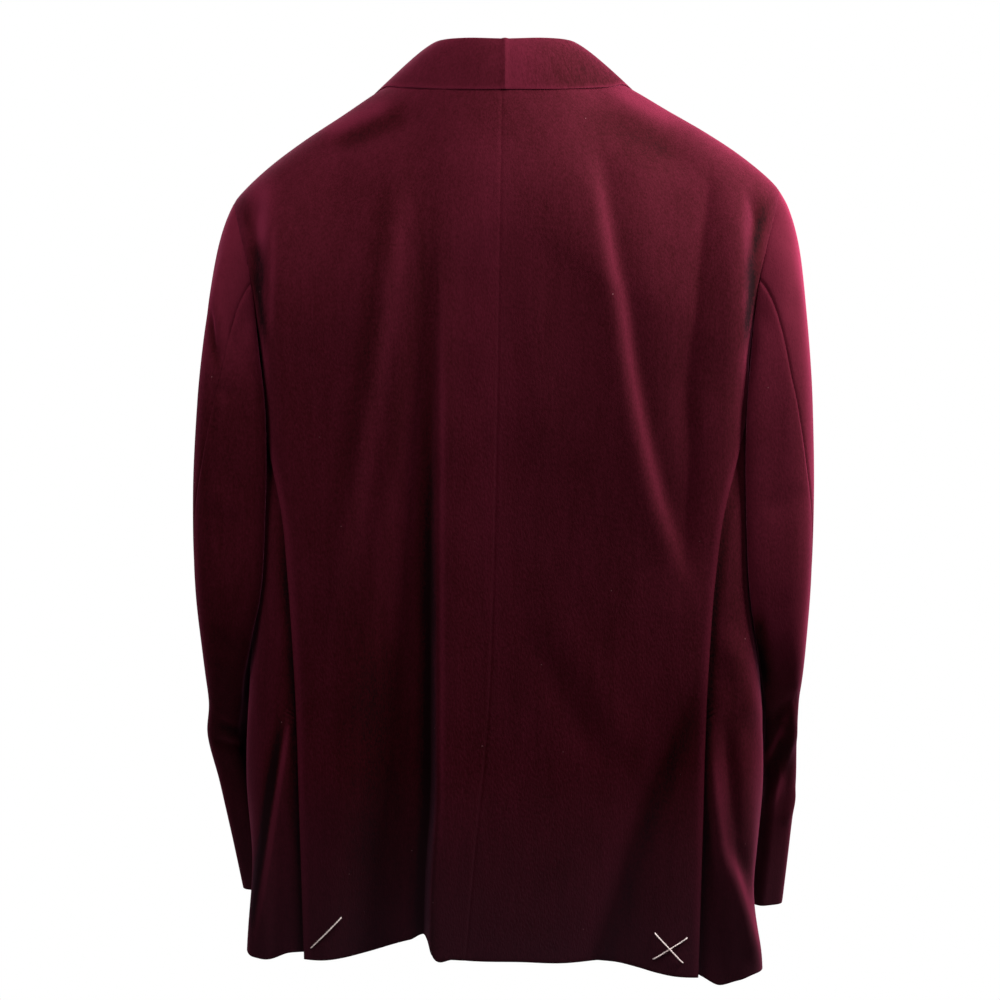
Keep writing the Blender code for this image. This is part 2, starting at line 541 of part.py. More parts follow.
def collar_grid(side):
    """Across the collar: up the stand from the neck seam, over the roll line and down the fall."""
    sections = collar_sections(side)
    rows = []
    for share in even(COLLAR_ROWS):
        neck, roll, edge = (curve_through([s[i] for s in sections], share) for i in range(3))
        ahead = curve_through([s[1] for s in sections], min(share + ROLL_SLOPE_STEP, 1))
        behind = curve_through([s[1] for s in sections], share - ROLL_SLOPE_STEP)
        fall = edge - roll
        swell = min(FALL_BELLY, fall.length * FALL_BELLY_SHARE)
        outside = -side * (ahead - behind).cross(fall).normalized()
        middle = roll + fall * FALL_BELLY_AT + outside * swell
        row = [neck, neck.lerp(roll, 0.5)]
        for t in FALL_COLUMNS:
            row.append(roll * (1 - t) ** 2 + middle * 2 * t * (1 - t) + edge * t * t)
        if share == 0:
            for point in row:
                point.x = side * SEAM_GAP / 2
        rows.append(row)
    return rows


def cloth_material(name, colour, roughness):
    material = bpy.data.materials.new(name)
    material.use_nodes = True
    shader = material.node_tree.nodes["Principled BSDF"]
    shader.inputs["Base Color"].default_value = (*colour, 1)
    shader.inputs["Roughness"].default_value = roughness
    shader.inputs["Metallic"].default_value = 0.0
    shader.inputs["Sheen Weight"].default_value = 0.6
    return material


def add_to_jacket(obj, material, jacket, carrier):
    obj.data.materials.clear()
    obj.data.materials.append(material)
    jacket.objects.link(obj)
    obj.parent = carrier


def cloth_piece(name, grid, material, jacket, carrier):
    """A grid of points as an open surface with a Solidify wall on it."""
    across, down = len(grid), len(grid[0])
    points = [point for column in grid for point in column]
    faces = [(i * down + j, (i + 1) * down + j, (i + 1) * down + j + 1, i * down + j + 1)
             for i in range(across - 1) for j in range(down - 1)]
    mesh = bpy.data.meshes.new(name)
    mesh.from_pydata(points, [], faces)
    mesh.shade_smooth()
    obj = bpy.data.objects.new(name, mesh)
    wall = obj.modifiers.new("wall", "SOLIDIFY")
    wall.thickness = CLOTH
    wall.offset = 0
    add_to_jacket(obj, material, jacket, carrier)


def covered_button(name, material, jacket, carrier):
    """A domed, cloth-covered button on the left front."""
    seat = front_point(0, BUTTON_Z, LEFT)
    bpy.ops.mesh.primitive_uv_sphere_add(segments=20, ring_count=10, radius=BUTTON_RADIUS)
    obj = bpy.context.object
    obj.name = obj.data.name = name
    for vertex in obj.data.vertices:
        x, y, z = vertex.co
        height = max(z, -BUTTON_RADIUS * BUTTON_FLAT) * BUTTON_HEIGHT / BUTTON_RADIUS
        vertex.co = (x, height + BUTTON_HEIGHT * BUTTON_FLAT, -y)
    obj.data.shade_smooth()
    obj.location = seat + Vector((0, CLOTH / 2 + SEAM_GAP, 0))
    for collection in obj.users_collection:
        collection.objects.unlink(obj)
    add_to_jacket(obj, material, jacket, carrier)


def main():
    for obj in list(bpy.data.objects):
        bpy.data.objects.remove(obj)
    jacket = bpy.data.collections.new("tuxedo_jacket")
    bpy.context.scene.collection.children.link(jacket)
    carrier = bpy.data.objects.new("neck_point", None)
    jacket.objects.link(carrier)
    velvet = cloth_material("burgundy_velvet", (0.100, 0.012, 0.022), 0.95)
    covering = cloth_material("button_velvet", (0.060, 0.008, 0.014), 0.90)
    for side, hand in ((LEFT, "left"), (RIGHT, "right")):
        pieces = {
            f"back_{hand}": back_grid(side),
            f"side_{hand}": side_grid(side),
            f"front_{hand}": front_grid(side),
            f"sleeve_top_{hand}": sleeve_grid(side, "top"),
            f"sleeve_under_{hand}": sleeve_grid(side, "under"),
            f"collar_{hand}": collar_grid(side),
        }
        for name, grid in pieces.items():
            cloth_piece(name, grid, velvet, jacket, carrier)
    covered_button("front_button", covering, jacket, carrier)


main()
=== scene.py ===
import math
from collections import namedtuple

import bpy
import numpy as np
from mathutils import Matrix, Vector


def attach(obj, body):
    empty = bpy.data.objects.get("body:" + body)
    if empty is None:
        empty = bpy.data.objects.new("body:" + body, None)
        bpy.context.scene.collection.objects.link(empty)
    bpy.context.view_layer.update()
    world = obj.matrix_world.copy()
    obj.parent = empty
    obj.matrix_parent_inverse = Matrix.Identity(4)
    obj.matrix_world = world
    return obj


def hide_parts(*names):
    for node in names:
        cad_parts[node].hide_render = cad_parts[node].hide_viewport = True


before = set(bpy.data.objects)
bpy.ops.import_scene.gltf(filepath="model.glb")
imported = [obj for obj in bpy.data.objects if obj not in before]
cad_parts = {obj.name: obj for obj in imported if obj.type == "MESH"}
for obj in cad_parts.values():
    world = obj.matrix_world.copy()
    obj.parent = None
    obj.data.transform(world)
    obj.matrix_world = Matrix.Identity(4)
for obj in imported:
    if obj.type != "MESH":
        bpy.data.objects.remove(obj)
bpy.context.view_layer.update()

# The back: two panels of cotton velvet with the pile running down, sewn together down the centre back.
# Their lower outer edges are the free upper laps of the side vents. The cloth hangs from the shoulder
# seams in soft upright folds, with one deep fold left of the centre.
LEFT, RIGHT = -1, 1
HAND = {LEFT: "left", RIGHT: "right"}
CLOTH = 0.0020  # wall thickness: velvet, canvas and facing together
SEAM_GAP = -0.0002  # two pieces sewn edge to edge are pressed into each other by this much
SEAM_STEPS = (0.0005, 0.0011, 0.0018, 0.0026, 0.0036, 0.0050)  # columns close beside a sewn or turned edge
EDGE_ROUND, EDGE_SEGMENTS, EDGE_ANGLE = 0.0008, 2, math.radians(60)  # rounding of a turned edge


def table(columns, *rows):
    """A short table of sizes, with a name for each column."""
    row = namedtuple("Row", columns)
    return [row(*sizes) for sizes in rows]


BODY = table(
    "z half_width back_depth front_depth back_squareness",
    (-0.760, 0.2190, 0.096, 0.114, 5.0),
    (-0.660, 0.2160, 0.097, 0.114, 5.5),
    (-0.580, 0.2180, 0.099, 0.112, 6.0),
    (-0.500, 0.2135, 0.101, 0.109, 6.0),
    (-0.410, 0.2065, 0.104, 0.107, 6.0),
    (-0.330, 0.2070, 0.108, 0.112, 5.0),
    (-0.262, 0.2130, 0.112, 0.115, 4.0),
    (-0.200, 0.2225, 0.113, 0.113, 4.0),
    (-0.100, 0.2380, 0.111, 0.106, 4.0),
    (0.020, 0.2450, 0.111, 0.104, 4.0),
)
FRONT_SQUARENESS = 2.1
WIDEST = 0.999  # share of the half width where a section stops, short of its steep end

EDGES = table(
    "z back front",
    (-0.760, 0.1660, 0.1560), (-0.600, 0.1695, 0.1620), (-0.510, 0.1715, 0.1660),
    (-0.447, 0.1745, 0.1700), (-0.400, 0.1775, 0.1740), (-0.354, 0.1815, 0.1785),
    (-0.300, 0.1920, 0.1850), (-0.262, 0.1990, 0.1900), (-0.235, 0.1985, 0.1915),
    (-0.210, 0.2005, 0.1940), (-0.167, 0.2070, 0.2030), (-0.142, 0.2130, 0.2110),
    (-0.115, 0.2210, 0.2200), (-0.090, 0.2285, 0.2285),
)
EDGE_IN, EDGE_IN_Z = 0.0060, (-0.250, -0.440)  # the right side seam lies this much nearer the centre

NECK_OUT, TIP_OUT = 0.076, 0.2285
SHOULDER = table(
    "z out",
    (0.0360, -0.045), (0.0500, 0.000), (0.0360, 0.045), (0.0098, NECK_OUT), (-0.0065, 0.106),
    (-0.0245, 0.135), (-0.0445, 0.1675), (-0.0645, 0.196), (-0.0855, 0.2205), (-0.0940, TIP_OUT),
)
SHOULDER_ROLL = 0.17  # how far below the seam the cloth has turned upright
SHOULDER_BEND, SHOULDER_BEND_OUT = (1.7, 2.4), (0.125, 0.215)
SHOULDER_FALL = {LEFT: 1.07, RIGHT: 0.94}  # the left shoulder slopes more
NECK_BACK_Z = 0.002
TOP_ROUNDS = 12  # rounds that bring a column to the seam it ends at

LINE = "z x"  # the columns of a line that runs down the cloth
CENTRE_BACK = table(
    LINE,
    (-0.740, -0.034), (-0.630, -0.0245), (-0.520, -0.0138), (-0.390, -0.0089), (-0.120, -0.0040),
    (0.010, -0.0020),
)
BACK_HEM = table(
    LINE,
    (-0.7235, -0.176), (-0.7245, -0.150), (-0.7195, -0.115), (-0.7125, -0.080), (-0.7095, -0.0640),
    (-0.7215, -0.0590), (-0.7222, -0.0445), (-0.7237, -0.020), (-0.7245, 0.012), (-0.7265, 0.045),
    (-0.7258, 0.077), (-0.7258, 0.093), (-0.7290, 0.109), (-0.7338, 0.126), (-0.7372, 0.142),
    (-0.7390, 0.176),
)
VENT_TOP_Z, VENT_LAP, VENT_TUCK, VENT_STEP = -0.508, 0.034, 0.0045, 0.022
VENT_TUCK_ACROSS = (0.20, 0.30)
VENT_FREE_LENGTH = 0.08

# The large folds, as ridges (or troughs where height is negative) from a top point to a low point.
BACK_FOLDS = table(
    "top_z top_x low_z low_x bow height left right",
    (-0.030, -0.078, -0.480, -0.154, 0.004, 0.0040, 0.015, 0.011),
    (-0.070, 0.188, -0.340, 0.184, 0.000, 0.0030, 0.013, 0.010),
    (-0.070, -0.188, -0.340, -0.184, 0.000, 0.0030, 0.010, 0.013),
)
# Steep flanks that fall to the right, and sharp valleys: along a line, with the reach to either side.
BRIGHT_FLANK = table(
    LINE,
    (-0.420, 0.1530), (-0.387, 0.1418), (-0.340, 0.1256), (-0.299, 0.1151), (-0.259, 0.1062),
    (-0.2185, 0.0989), (-0.178, 0.0932), (-0.146, 0.0859), (-0.097, 0.0778), (-0.050, 0.0700),
)
FLANK_DROP, FLANK_FALL, FLANK_REACH = 0.0150, 0.0070, (0.026, 0.020)
FLANK_SPAN = (-0.045, -0.090, -0.330, -0.425)
ARM_VALLEY = table(
    LINE,
    (-0.420, 0.1440), (-0.299, 0.1500), (-0.259, 0.1475), (-0.2185, 0.1499), (-0.178, 0.1548),
    (-0.146, 0.1572), (-0.097, 0.1640), (-0.040, 0.1700),
)
HEM_VALLEY = table(
    LINE,
    (-0.760, 0.0640), (-0.687, 0.0890), (-0.637, 0.1030), (-0.586, 0.1208), (-0.536, 0.1393),
    (-0.470, 0.1620),
)
VALLEYS = table(
    "line depth left right span",
    (ARM_VALLEY, 0.0080, 0.026, 0.014, (-0.055, -0.100, -0.330, -0.440)),
    (HEM_VALLEY, 0.0130, 0.034, 0.022, (-0.470, -0.600, -0.800, -0.900)),
)
VALLEY_ROUND = 0.0022  # radius at the bottom of a valley
FOLD_FADE = 4  # a fold fades over one part in this many of its length at each end
EDGE_CALM = 30  # power with which the folds die away at the outer edge
DEEP_FOLD = table(
    "z x depth reach",
    (-0.760, -0.0605, 0.028, 0.090),
    (-0.660, -0.0585, 0.024, 0.080),
    (-0.590, -0.0540, 0.021, 0.072),
    (-0.520, -0.0535, 0.018, 0.065),
    (-0.380, -0.0530, 0.011, 0.045),
    (-0.240, -0.0520, 0.006, 0.030),
    (-0.120, -0.0520, 0.0, 0.024),
)
DEEP_RISER, RISER_SHARES = 0.008, (0.25, 0.36)  # its width, and the columns that it takes up
HEM_SWELL, HEM_SWELL_Z, HEM_SWELL_X = 0.004, (-0.45, -0.70), (-0.10, -0.05)
ARMHOLE_DIP, ARMHOLE_DIP_X = 0.012, (0.190, 0.204)
ARMHOLE_DIP_TOP_Z, ARMHOLE_DIP_LOW_Z = (-0.075, -0.120), (-0.262, -0.215)

# The smaller creases, seen from behind: from one end to the other, with a height and a half width.
CREASE = "x0 z0 x1 z1 height width"
BACK_CREASES = table(
    CREASE,
    (-0.055, -0.026, -0.165, -0.062, -0.0046, 0.011),
    (0.070, -0.026, 0.172, -0.080, -0.0034, 0.013),
    (0.199, -0.088, 0.206, -0.125, -0.0022, 0.005),
    (-0.202, -0.098, -0.207, -0.135, -0.0018, 0.005),
    (0.010, -0.430, 0.085, -0.570, -0.0014, 0.014),
    (0.042, -0.430, 0.116, -0.570, 0.0010, 0.016),
    (-0.118, -0.440, -0.150, -0.640, 0.0016, 0.014),
    (-0.030, -0.110, -0.036, -0.300, -0.0012, 0.012),
    (0.020, -0.120, 0.028, -0.330, 0.0012, 0.015),
)
CREASE_ENDS = 0.3  # share of a crease's length over which each end fades

TOP_SHARE, TOP_ROWS, BODY_ROWS = 0.08, 26, 190
BACK_COLUMN = 0.0017
NO_LENGTH = 1e-12  # least length of a normal before it is made a unit


def lerp(a, b, share):
    return a + (b - a) * share


def ramp(at, start, end):
    """0 up to start, easing to 1 at end."""
    share = np.clip((at - start) / (end - start), 0, 1)
    return share * share * (3 - 2 * share)


def along(sizes, column, at, by="z"):
    """A column of a table at a height, or at another column, on a smooth curve through its rows."""
    rows = sorted(sizes, key=lambda row: getattr(row, by))
    places = np.array([getattr(row, by) for row in rows])
    values = np.array([getattr(row, column) for row in rows])
    steps = np.diff(values) / np.diff(places)
    slopes = (np.r_[steps[0], steps] + np.r_[steps, steps[-1]]) / 2
    at = np.clip(at, places[0], places[-1])
    i = np.clip(np.searchsorted(places, at) - 1, 0, len(places) - 2)
    gap = places[i + 1] - places[i]
    t = (at - places[i]) / gap
    return (values[i] * (1 + 2 * t) * (1 - t) ** 2 + values[i + 1] * t * t * (3 - 2 * t)
            + gap * (slopes[i] * t * (1 - t) ** 2 - slopes[i + 1] * t * t * (1 - t)))


def stacked(x, y, z):
    return np.stack(np.broadcast_arrays(x, y, z), axis=-1).astype(float)


def shoulder_height(out, side):
    """Height of the shoulder seam, or of its guide line inside the neck, this far out."""
    neck_z = along(SHOULDER, "z", NECK_OUT, by="out")
    height = along(SHOULDER, "z", out, by="out")
    fall = np.where(side == LEFT, SHOULDER_FALL[LEFT], SHOULDER_FALL[RIGHT])
    return np.where(out < NECK_OUT, height, neck_z + (height - neck_z) * fall)


def back_edge(z, side):
    """How far out a back panel's armhole or side seam lies."""
    return along(EDGES, "back", z) - np.where(side == RIGHT, EDGE_IN * ramp(z, *EDGE_IN_Z), 0)


def section_depth(x, z, depth, squareness):
    """How far the back or the front half of a level section stands from the middle at x."""
    ratio = np.minimum(np.abs(x) / along(BODY, "half_width", z), WIDEST)
    return along(BODY, depth, z) * (1 - ratio**squareness) ** (1 / squareness)


def over_shoulder(x, z):
    """1 on the flat of the back or chest, falling to 0 at the shoulder seam."""
    drop = shoulder_height(np.abs(x), np.where(x < 0, LEFT, RIGHT)) - z
    share = np.clip(drop / SHOULDER_ROLL, 0, 1)
    bend = lerp(*SHOULDER_BEND, ramp(np.abs(x), *SHOULDER_BEND_OUT))
    return (1 - (1 - share) ** bend) ** (1 / bend)


def fold_height(folds, x, z):
    """Sum of the large ridges and troughs at a point of the back."""
    total = 0.0
    for fold in folds:
        share = (fold.top_z - z) / (fold.top_z - fold.low_z)
        crest = lerp(fold.top_x, fold.low_x, share) + fold.bow * np.sin(np.pi * np.clip(share, 0, 1))
        width = np.where(x < crest, fold.left, fold.right)
        fade = ramp(share, 0, 1 / FOLD_FADE) * ramp(share, 1, 1 - 1 / FOLD_FADE)
        total = total + fold.height * fade * np.exp(-(((x - crest) / width) ** 2))
    return total


def crease_height(creases, x, z):
    """Sum of the small creases at a point seen from behind."""
    total = 0.0
    for crease in creases:
        run, rise = crease.x1 - crease.x0, crease.z1 - crease.z0
        length = math.hypot(run, rise)
        share = ((x - crease.x0) * run + (z - crease.z0) * rise) / length**2
        aside = ((x - crease.x0) * rise - (z - crease.z0) * run) / length
        fade = ramp(share, 0, CREASE_ENDS) * ramp(share, 1, 1 - CREASE_ENDS)
        total = total + crease.height * fade * np.exp(-((aside / crease.width) ** 2))
    return total


def span(z, start, full, fading, end):
    """1 between two heights, easing in from above and out below."""
    return ramp(z, start, full) * ramp(z, end, fading)


def flank_height(x, z):
    """The steep flank that catches the light right of the centre, and the sharp valleys near it."""
    past = x - along(BRIGHT_FLANK, "x", z)
    reach = np.where(past < 0, *FLANK_REACH)
    flank = -FLANK_DROP / 2 * np.tanh(past / FLANK_FALL) * np.exp(-np.abs(past) / reach)
    total = flank * span(z, *FLANK_SPAN)
    for valley in VALLEYS:
        past = x - along(valley.line, "x", z)
        away = np.sqrt(past**2 + VALLEY_ROUND**2) - VALLEY_ROUND
        hollow = np.exp(-away / np.where(past < 0, valley.left, valley.right))
        total = total - valley.depth * hollow * span(z, *valley.span)
    return total


def deep_fold(x, z):
    """Depth of the hollow left of the deep fold's steep riser."""
    past = along(DEEP_FOLD, "x", z) - x
    back_up = 1 - ramp(past, DEEP_RISER, DEEP_RISER + along(DEEP_FOLD, "reach", z))
    return along(DEEP_FOLD, "depth", z) * np.minimum(ramp(past, 0, DEEP_RISER), back_up)


def back_point(x, z):
    """Points of the back's middle surface."""
    out = section_depth(x, z, "back_depth", along(BODY, "back_squareness", z)) * over_shoulder(x, z)
    edge = back_edge(z, np.where(x < 0, LEFT, RIGHT))
    free = ramp(z, VENT_TOP_Z, VENT_TOP_Z - VENT_FREE_LENGTH)
    calm = np.maximum(1 - (np.minimum(np.abs(x) / edge, 1)) ** EDGE_CALM, free)
    swell = HEM_SWELL * ramp(z, *HEM_SWELL_Z) * ramp(x, *HEM_SWELL_X)
    folds = fold_height(BACK_FOLDS, x, z) + flank_height(x, z) + crease_height(BACK_CREASES, x, z)
    dip = ramp(np.abs(x), *ARMHOLE_DIP_X) * ramp(z, *ARMHOLE_DIP_TOP_Z) * ramp(z, *ARMHOLE_DIP_LOW_Z)
    out = out + calm * (folds + swell) - deep_fold(x, z) - ARMHOLE_DIP * dip
    return stacked(x, -out, z)


def back_x(share, z, side):
    """Across a back panel, from the centre seam (0) to the armhole or the side seam (1)."""
    seam, edge = along(CENTRE_BACK, "x", z), side * back_edge(z, side)
    if side == RIGHT:
        return lerp(seam, edge, share)
    crest, (start, end) = along(DEEP_FOLD, "x", z), RISER_SHARES
    inner = lerp(seam, crest, share / start)
    riser = lerp(crest, crest - DEEP_RISER, (share - start) / (end - start))
    outer = lerp(crest - DEEP_RISER, edge, (share - end) / (1 - end))
    return np.where(share < start, inner, np.where(share < end, riser, outer))


def neckline(out, side):
    """Height of the back's neckline, this far out from the centre."""
    return lerp(NECK_BACK_Z, shoulder_height(NECK_OUT, side), (out / NECK_OUT) ** 2)


def top_height(across, share, side):
    """Where each column of a back or a front meets the neckline or the shoulder seam."""
    z = np.zeros_like(share)
    for _ in range(TOP_ROUNDS):
        out = np.abs(across(share, z, side))
        z = np.where(out < NECK_OUT, neckline(out, side), shoulder_height(out, side))
    return z


def shares(length, step):
    """Shares of a length, close beside both ends and even between, clear of the ends by half a seam gap."""
    close = np.array(SEAM_STEPS) / length
    even = np.linspace(0, 1, math.ceil(length / step) + 1)
    even = even[(even > close[-1] + step / 2 / length) & (even < 1 - close[-1] - step / 2 / length)]
    trim = SEAM_GAP / 2 / length
    return np.r_[trim, close, even, 1 - close[::-1], 1 - trim]


def row_shares():
    """Shares down a body panel: close under the shoulder seam, then even, close again at the hem."""
    under = TOP_SHARE * np.linspace(0, 1, TOP_ROWS) ** 2
    return np.r_[under, np.linspace(TOP_SHARE, 1, BODY_ROWS)[1:]]


def normals(points, outside):
    """Normals of a grid of points, on the side of a rough outward direction."""
    across, down = np.gradient(points, axis=0), np.gradient(points, axis=1)
    normal = np.cross(across, down)
    normal /= np.maximum(np.linalg.norm(normal, axis=-1, keepdims=True), NO_LENGTH)
    sign = np.sign((normal * outside).sum(-1).mean())
    return normal * sign


def run_length(points, axis):
    """Distance of each grid point from the grid's first line, along the other lines."""
    steps = np.linalg.norm(np.diff(points, axis=axis), axis=-1)
    length = np.cumsum(steps, axis=axis)
    first = np.zeros_like(np.take(length, [0], axis=axis))
    return np.concatenate([first, length], axis=axis)


Seam = namedtuple("Seam", "edge depth width")
PRESSED = (0.0010, 0.0022)  # depth and half width of the groove along a pressed seam


def seam_groove(points, seams):
    """How deep each point lies in the soft grooves along the edges that are sewn or turned."""
    across, down = run_length(points, 0), run_length(points, 1)
    gaps = {"start": across, "end": across[-1:] - across, "top": down, "hem": down[:, -1:] - down}
    groove = np.zeros(points.shape[:2])
    for seam in seams:
        groove = np.maximum(groove, seam.depth * np.exp(-((gaps[seam.edge] / seam.width) ** 2)))
    return groove


DEEP_TONE, LIGHT_TONE = (0.0137, 0.0006, 0.0016), (0.0355, 0.0027, 0.0070)
DEEPEST, DEEP_AT = 0.20, 0.35  # the deepest shade beside the deep one, and the deep one's place
NAP_TONE, NOISE_MIDDLE = 0.55, 0.5
PILE_SCALE, PILE_DETAIL, PILE_STRETCH, PILE_TONE = 800.0, 2.0, (1.0, 1.0, 0.45), 0.70
PILE_BUMP, PILE_HEIGHT = 0.35, 0.0006
CLOUD_SCALE, CLOUD_DETAIL, CLOUD_STRETCH, CLOUD_TONE = 26.0, 3.0, (1.0, 1.0, 0.55), 0.30
STREAK, STREAK_DETAIL, STREAK_STRETCH = (170.0, 0.26), 2.0, (1.0, 1.0, 0.10)  # scale and tone of the grain
LINT_SCALE, LINT_SIZE, LINT_RARE, LINT_SHOWN, LINT_COLOUR = 55.0, 0.024, 0.55, 0.5, (0.20, 0.09, 0.10)
PAINTED_HAZE, PAINTED_HAZE_Z, PAINTED_HAZE_COLOUR = 0.55, (-0.560, -0.720), (0.0150, 0.0052, 0.0085)  # painted haze of light, paler and greyer toward the hem
PAINTED_SHEEN, PAINTED_SHEEN_POWER, PAINTED_SHEEN_COLOUR = 0.85, 3.0, (0.150, 0.012, 0.034)  # painted sheen in the base colour where the surface is seen edge on
VELVET_ROUGHNESS, GLOSS = 0.92, 0.026
SHEEN, SHEEN_ROUGHNESS, SHEEN_TINT = 0.066, 0.30, (1.00, 0.28, 0.52)


def maths(tree, operation, first, second):
    """The result of a new node that works on two sockets or numbers."""
    node = tree.nodes.new("ShaderNodeMath")
    node.operation = operation
    for socket, value in zip(node.inputs, (first, second)):
        if isinstance(value, (int, float)):
            socket.default_value = value
        else:
            tree.links.new(value, socket)
    return node.outputs[0]


def bare_material(name):
    """A new material, its node tree and its shader."""
    material = bpy.data.materials.new(name)
    material.use_nodes = True
    return material, material.node_tree, material.node_tree.nodes["Principled BSDF"]


def velvet_material(name, lift, streak=STREAK):
    """Cotton velvet: a dense short pile with a fine upright grain, faint clouding and a few specks of lint.
    Its tone also carries painted light and shade from a mesh attribute, a painted sheen where it is seen
    edge on, and a painted haze toward the hem."""
    material, tree, shader = bare_material(name)
    nodes, links = tree.nodes, tree.links
    place = nodes.new("ShaderNodeTexCoord").outputs["Object"]

    def noise(scale, detail, stretch):
        turned = nodes.new("ShaderNodeMapping")
        turned.inputs["Scale"].default_value = stretch
        links.new(place, turned.inputs["Vector"])
        texture = nodes.new("ShaderNodeTexNoise")
        texture.inputs["Scale"].default_value = scale
        texture.inputs["Detail"].default_value = detail
        links.new(turned.outputs["Vector"], texture.inputs["Vector"])
        return texture.outputs["Fac"]

    def toned(value, tone):
        return maths(tree, "MULTIPLY", maths(tree, "SUBTRACT", value, NOISE_MIDDLE), tone)

    def mixed(share, colour, other):
        node = nodes.new("ShaderNodeMix")
        node.data_type = "RGBA"
        node.inputs["B"].default_value = (*other, 1)
        links.new(share, node.inputs["Factor"])
        links.new(colour, node.inputs["A"])
        return node.outputs["Result"]

    pile = noise(PILE_SCALE, PILE_DETAIL, PILE_STRETCH)
    streak_scale, streak_tone = streak
    streaks = noise(streak_scale, STREAK_DETAIL, STREAK_STRETCH)
    tone = toned(noise(CLOUD_SCALE, CLOUD_DETAIL, CLOUD_STRETCH), CLOUD_TONE)
    tone = maths(tree, "ADD", tone, toned(pile, PILE_TONE))
    tone = maths(tree, "ADD", tone, toned(streaks, streak_tone))
    # Painted light and shade, carried by a mesh attribute, lighten and darken the tone.
    nap = nodes.new("ShaderNodeAttribute")
    nap.attribute_name = "nap"
    tone = maths(tree, "ADD", maths(tree, "ADD", tone, nap.outputs["Fac"]), lift)
    blend = nodes.new("ShaderNodeValToRGB")
    blend.color_ramp.elements[0].color = (*(DEEPEST * c for c in DEEP_TONE), 1)
    blend.color_ramp.elements[1].color = (*LIGHT_TONE, 1)
    blend.color_ramp.elements.new(DEEP_AT).color = (*DEEP_TONE, 1)
    links.new(tone, blend.inputs["Fac"])

    lint = nodes.new("ShaderNodeTexVoronoi")
    lint.inputs["Scale"].default_value = LINT_SCALE
    links.new(place, lint.inputs["Vector"])
    chance = nodes.new("ShaderNodeSeparateColor")
    links.new(lint.outputs["Color"], chance.inputs["Color"])
    near = maths(tree, "LESS_THAN", lint.outputs["Distance"], LINT_SIZE)
    rare = maths(tree, "GREATER_THAN", chance.outputs["Red"], LINT_RARE)
    speck = maths(tree, "MULTIPLY", maths(tree, "MULTIPLY", near, rare), LINT_SHOWN)
    colour = mixed(speck, blend.outputs["Color"], LINT_COLOUR)

    height = nodes.new("ShaderNodeSeparateXYZ")
    links.new(place, height.inputs["Vector"])
    # Painted haze: the colour turns paler and greyer toward the hem.
    low = nodes.new("ShaderNodeMapRange")
    for socket, value in zip(("From Min", "From Max", "To Min", "To Max"), (*PAINTED_HAZE_Z, 0.0, PAINTED_HAZE)):
        low.inputs[socket].default_value = value
    links.new(height.outputs["Z"], low.inputs["Value"])
    colour = mixed(low.outputs["Result"], colour, PAINTED_HAZE_COLOUR)

    # Painted sheen: the base colour turns lighter and pinker where the surface is seen edge on.
    edge_on = nodes.new("ShaderNodeLayerWeight").outputs["Facing"]
    painted_rim = maths(tree, "MULTIPLY", maths(tree, "POWER", edge_on, PAINTED_SHEEN_POWER), PAINTED_SHEEN)
    painted_rim = maths(tree, "MULTIPLY", painted_rim, maths(tree, "MAXIMUM", tone, 0.0))
    links.new(mixed(painted_rim, colour, PAINTED_SHEEN_COLOUR), shader.inputs["Base Color"])

    bump = nodes.new("ShaderNodeBump")
    bump.inputs["Strength"].default_value = PILE_BUMP
    bump.inputs["Distance"].default_value = PILE_HEIGHT
    links.new(pile, bump.inputs["Height"])
    links.new(bump.outputs["Normal"], shader.inputs["Normal"])
    shader.inputs["Roughness"].default_value = VELVET_ROUGHNESS
    shader.inputs["Specular IOR Level"].default_value = GLOSS
    shader.inputs["Sheen Weight"].default_value = SHEEN
    shader.inputs["Sheen Roughness"].default_value = SHEEN_ROUGHNESS
    shader.inputs["Sheen Tint"].default_value = (*SHEEN_TINT, 1)
    return material


def placed(name, data):
    """A new object of the scene, at the origin."""
    made = bpy.data.objects.new(name, data)
    bpy.context.scene.collection.objects.link(made)
    return made


def cloth_piece(name, points, outside, material, seams, nap=0.0, thickness=CLOTH):
    """A grid of middle points as a cloth wall with turned edges, in place of its solid."""
    points = points - normals(points, outside) * seam_groove(points, seams)[..., None]
    columns, rows = points.shape[:2]
    i, j = np.meshgrid(np.arange(columns - 1), np.arange(rows - 1), indexing="ij")
    first = (i * rows + j).ravel()
    faces = np.stack([first, first + rows, first + rows + 1, first + 1], axis=1)
    mesh = bpy.data.meshes.new(name)
    mesh.from_pydata(points.reshape(-1, 3).tolist(), [], faces.tolist())
    mesh.shade_smooth()
    # The painted light and shade that lighten and darken the velvet's tone.
    painted_layer = mesh.attributes.new("nap", "FLOAT", "POINT")
    painted_layer.data.foreach_set("value", np.broadcast_to(nap, (columns, rows)).astype(np.float32).ravel())
    mesh.materials.append(material)
    piece = placed(name, mesh)
    wall = piece.modifiers.new("wall", "SOLIDIFY")
    wall.thickness = thickness
    wall.offset = 0
    turned = piece.modifiers.new("turned_edge", "BEVEL")
    turned.width = EDGE_ROUND
    turned.segments = EDGE_SEGMENTS
    turned.limit_method = "ANGLE"
    turned.angle_limit = EDGE_ANGLE
    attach(piece, "root")
    return piece


BACKWARDS = np.array([0.0, -1.0, 0.0])
TURNED = (0.0004, 0.0018)  # and of the one along the turned edge that stands over the side panel
CENTRE_PRESSED = (0.0003, 0.0014)  # and of the one down the centre back

# Painted shade and painted highlights in bands beside a line: how much lighter or darker, how far aside, how
# wide, and between which heights.
PAINTED_BANDS = "tone aside width span"
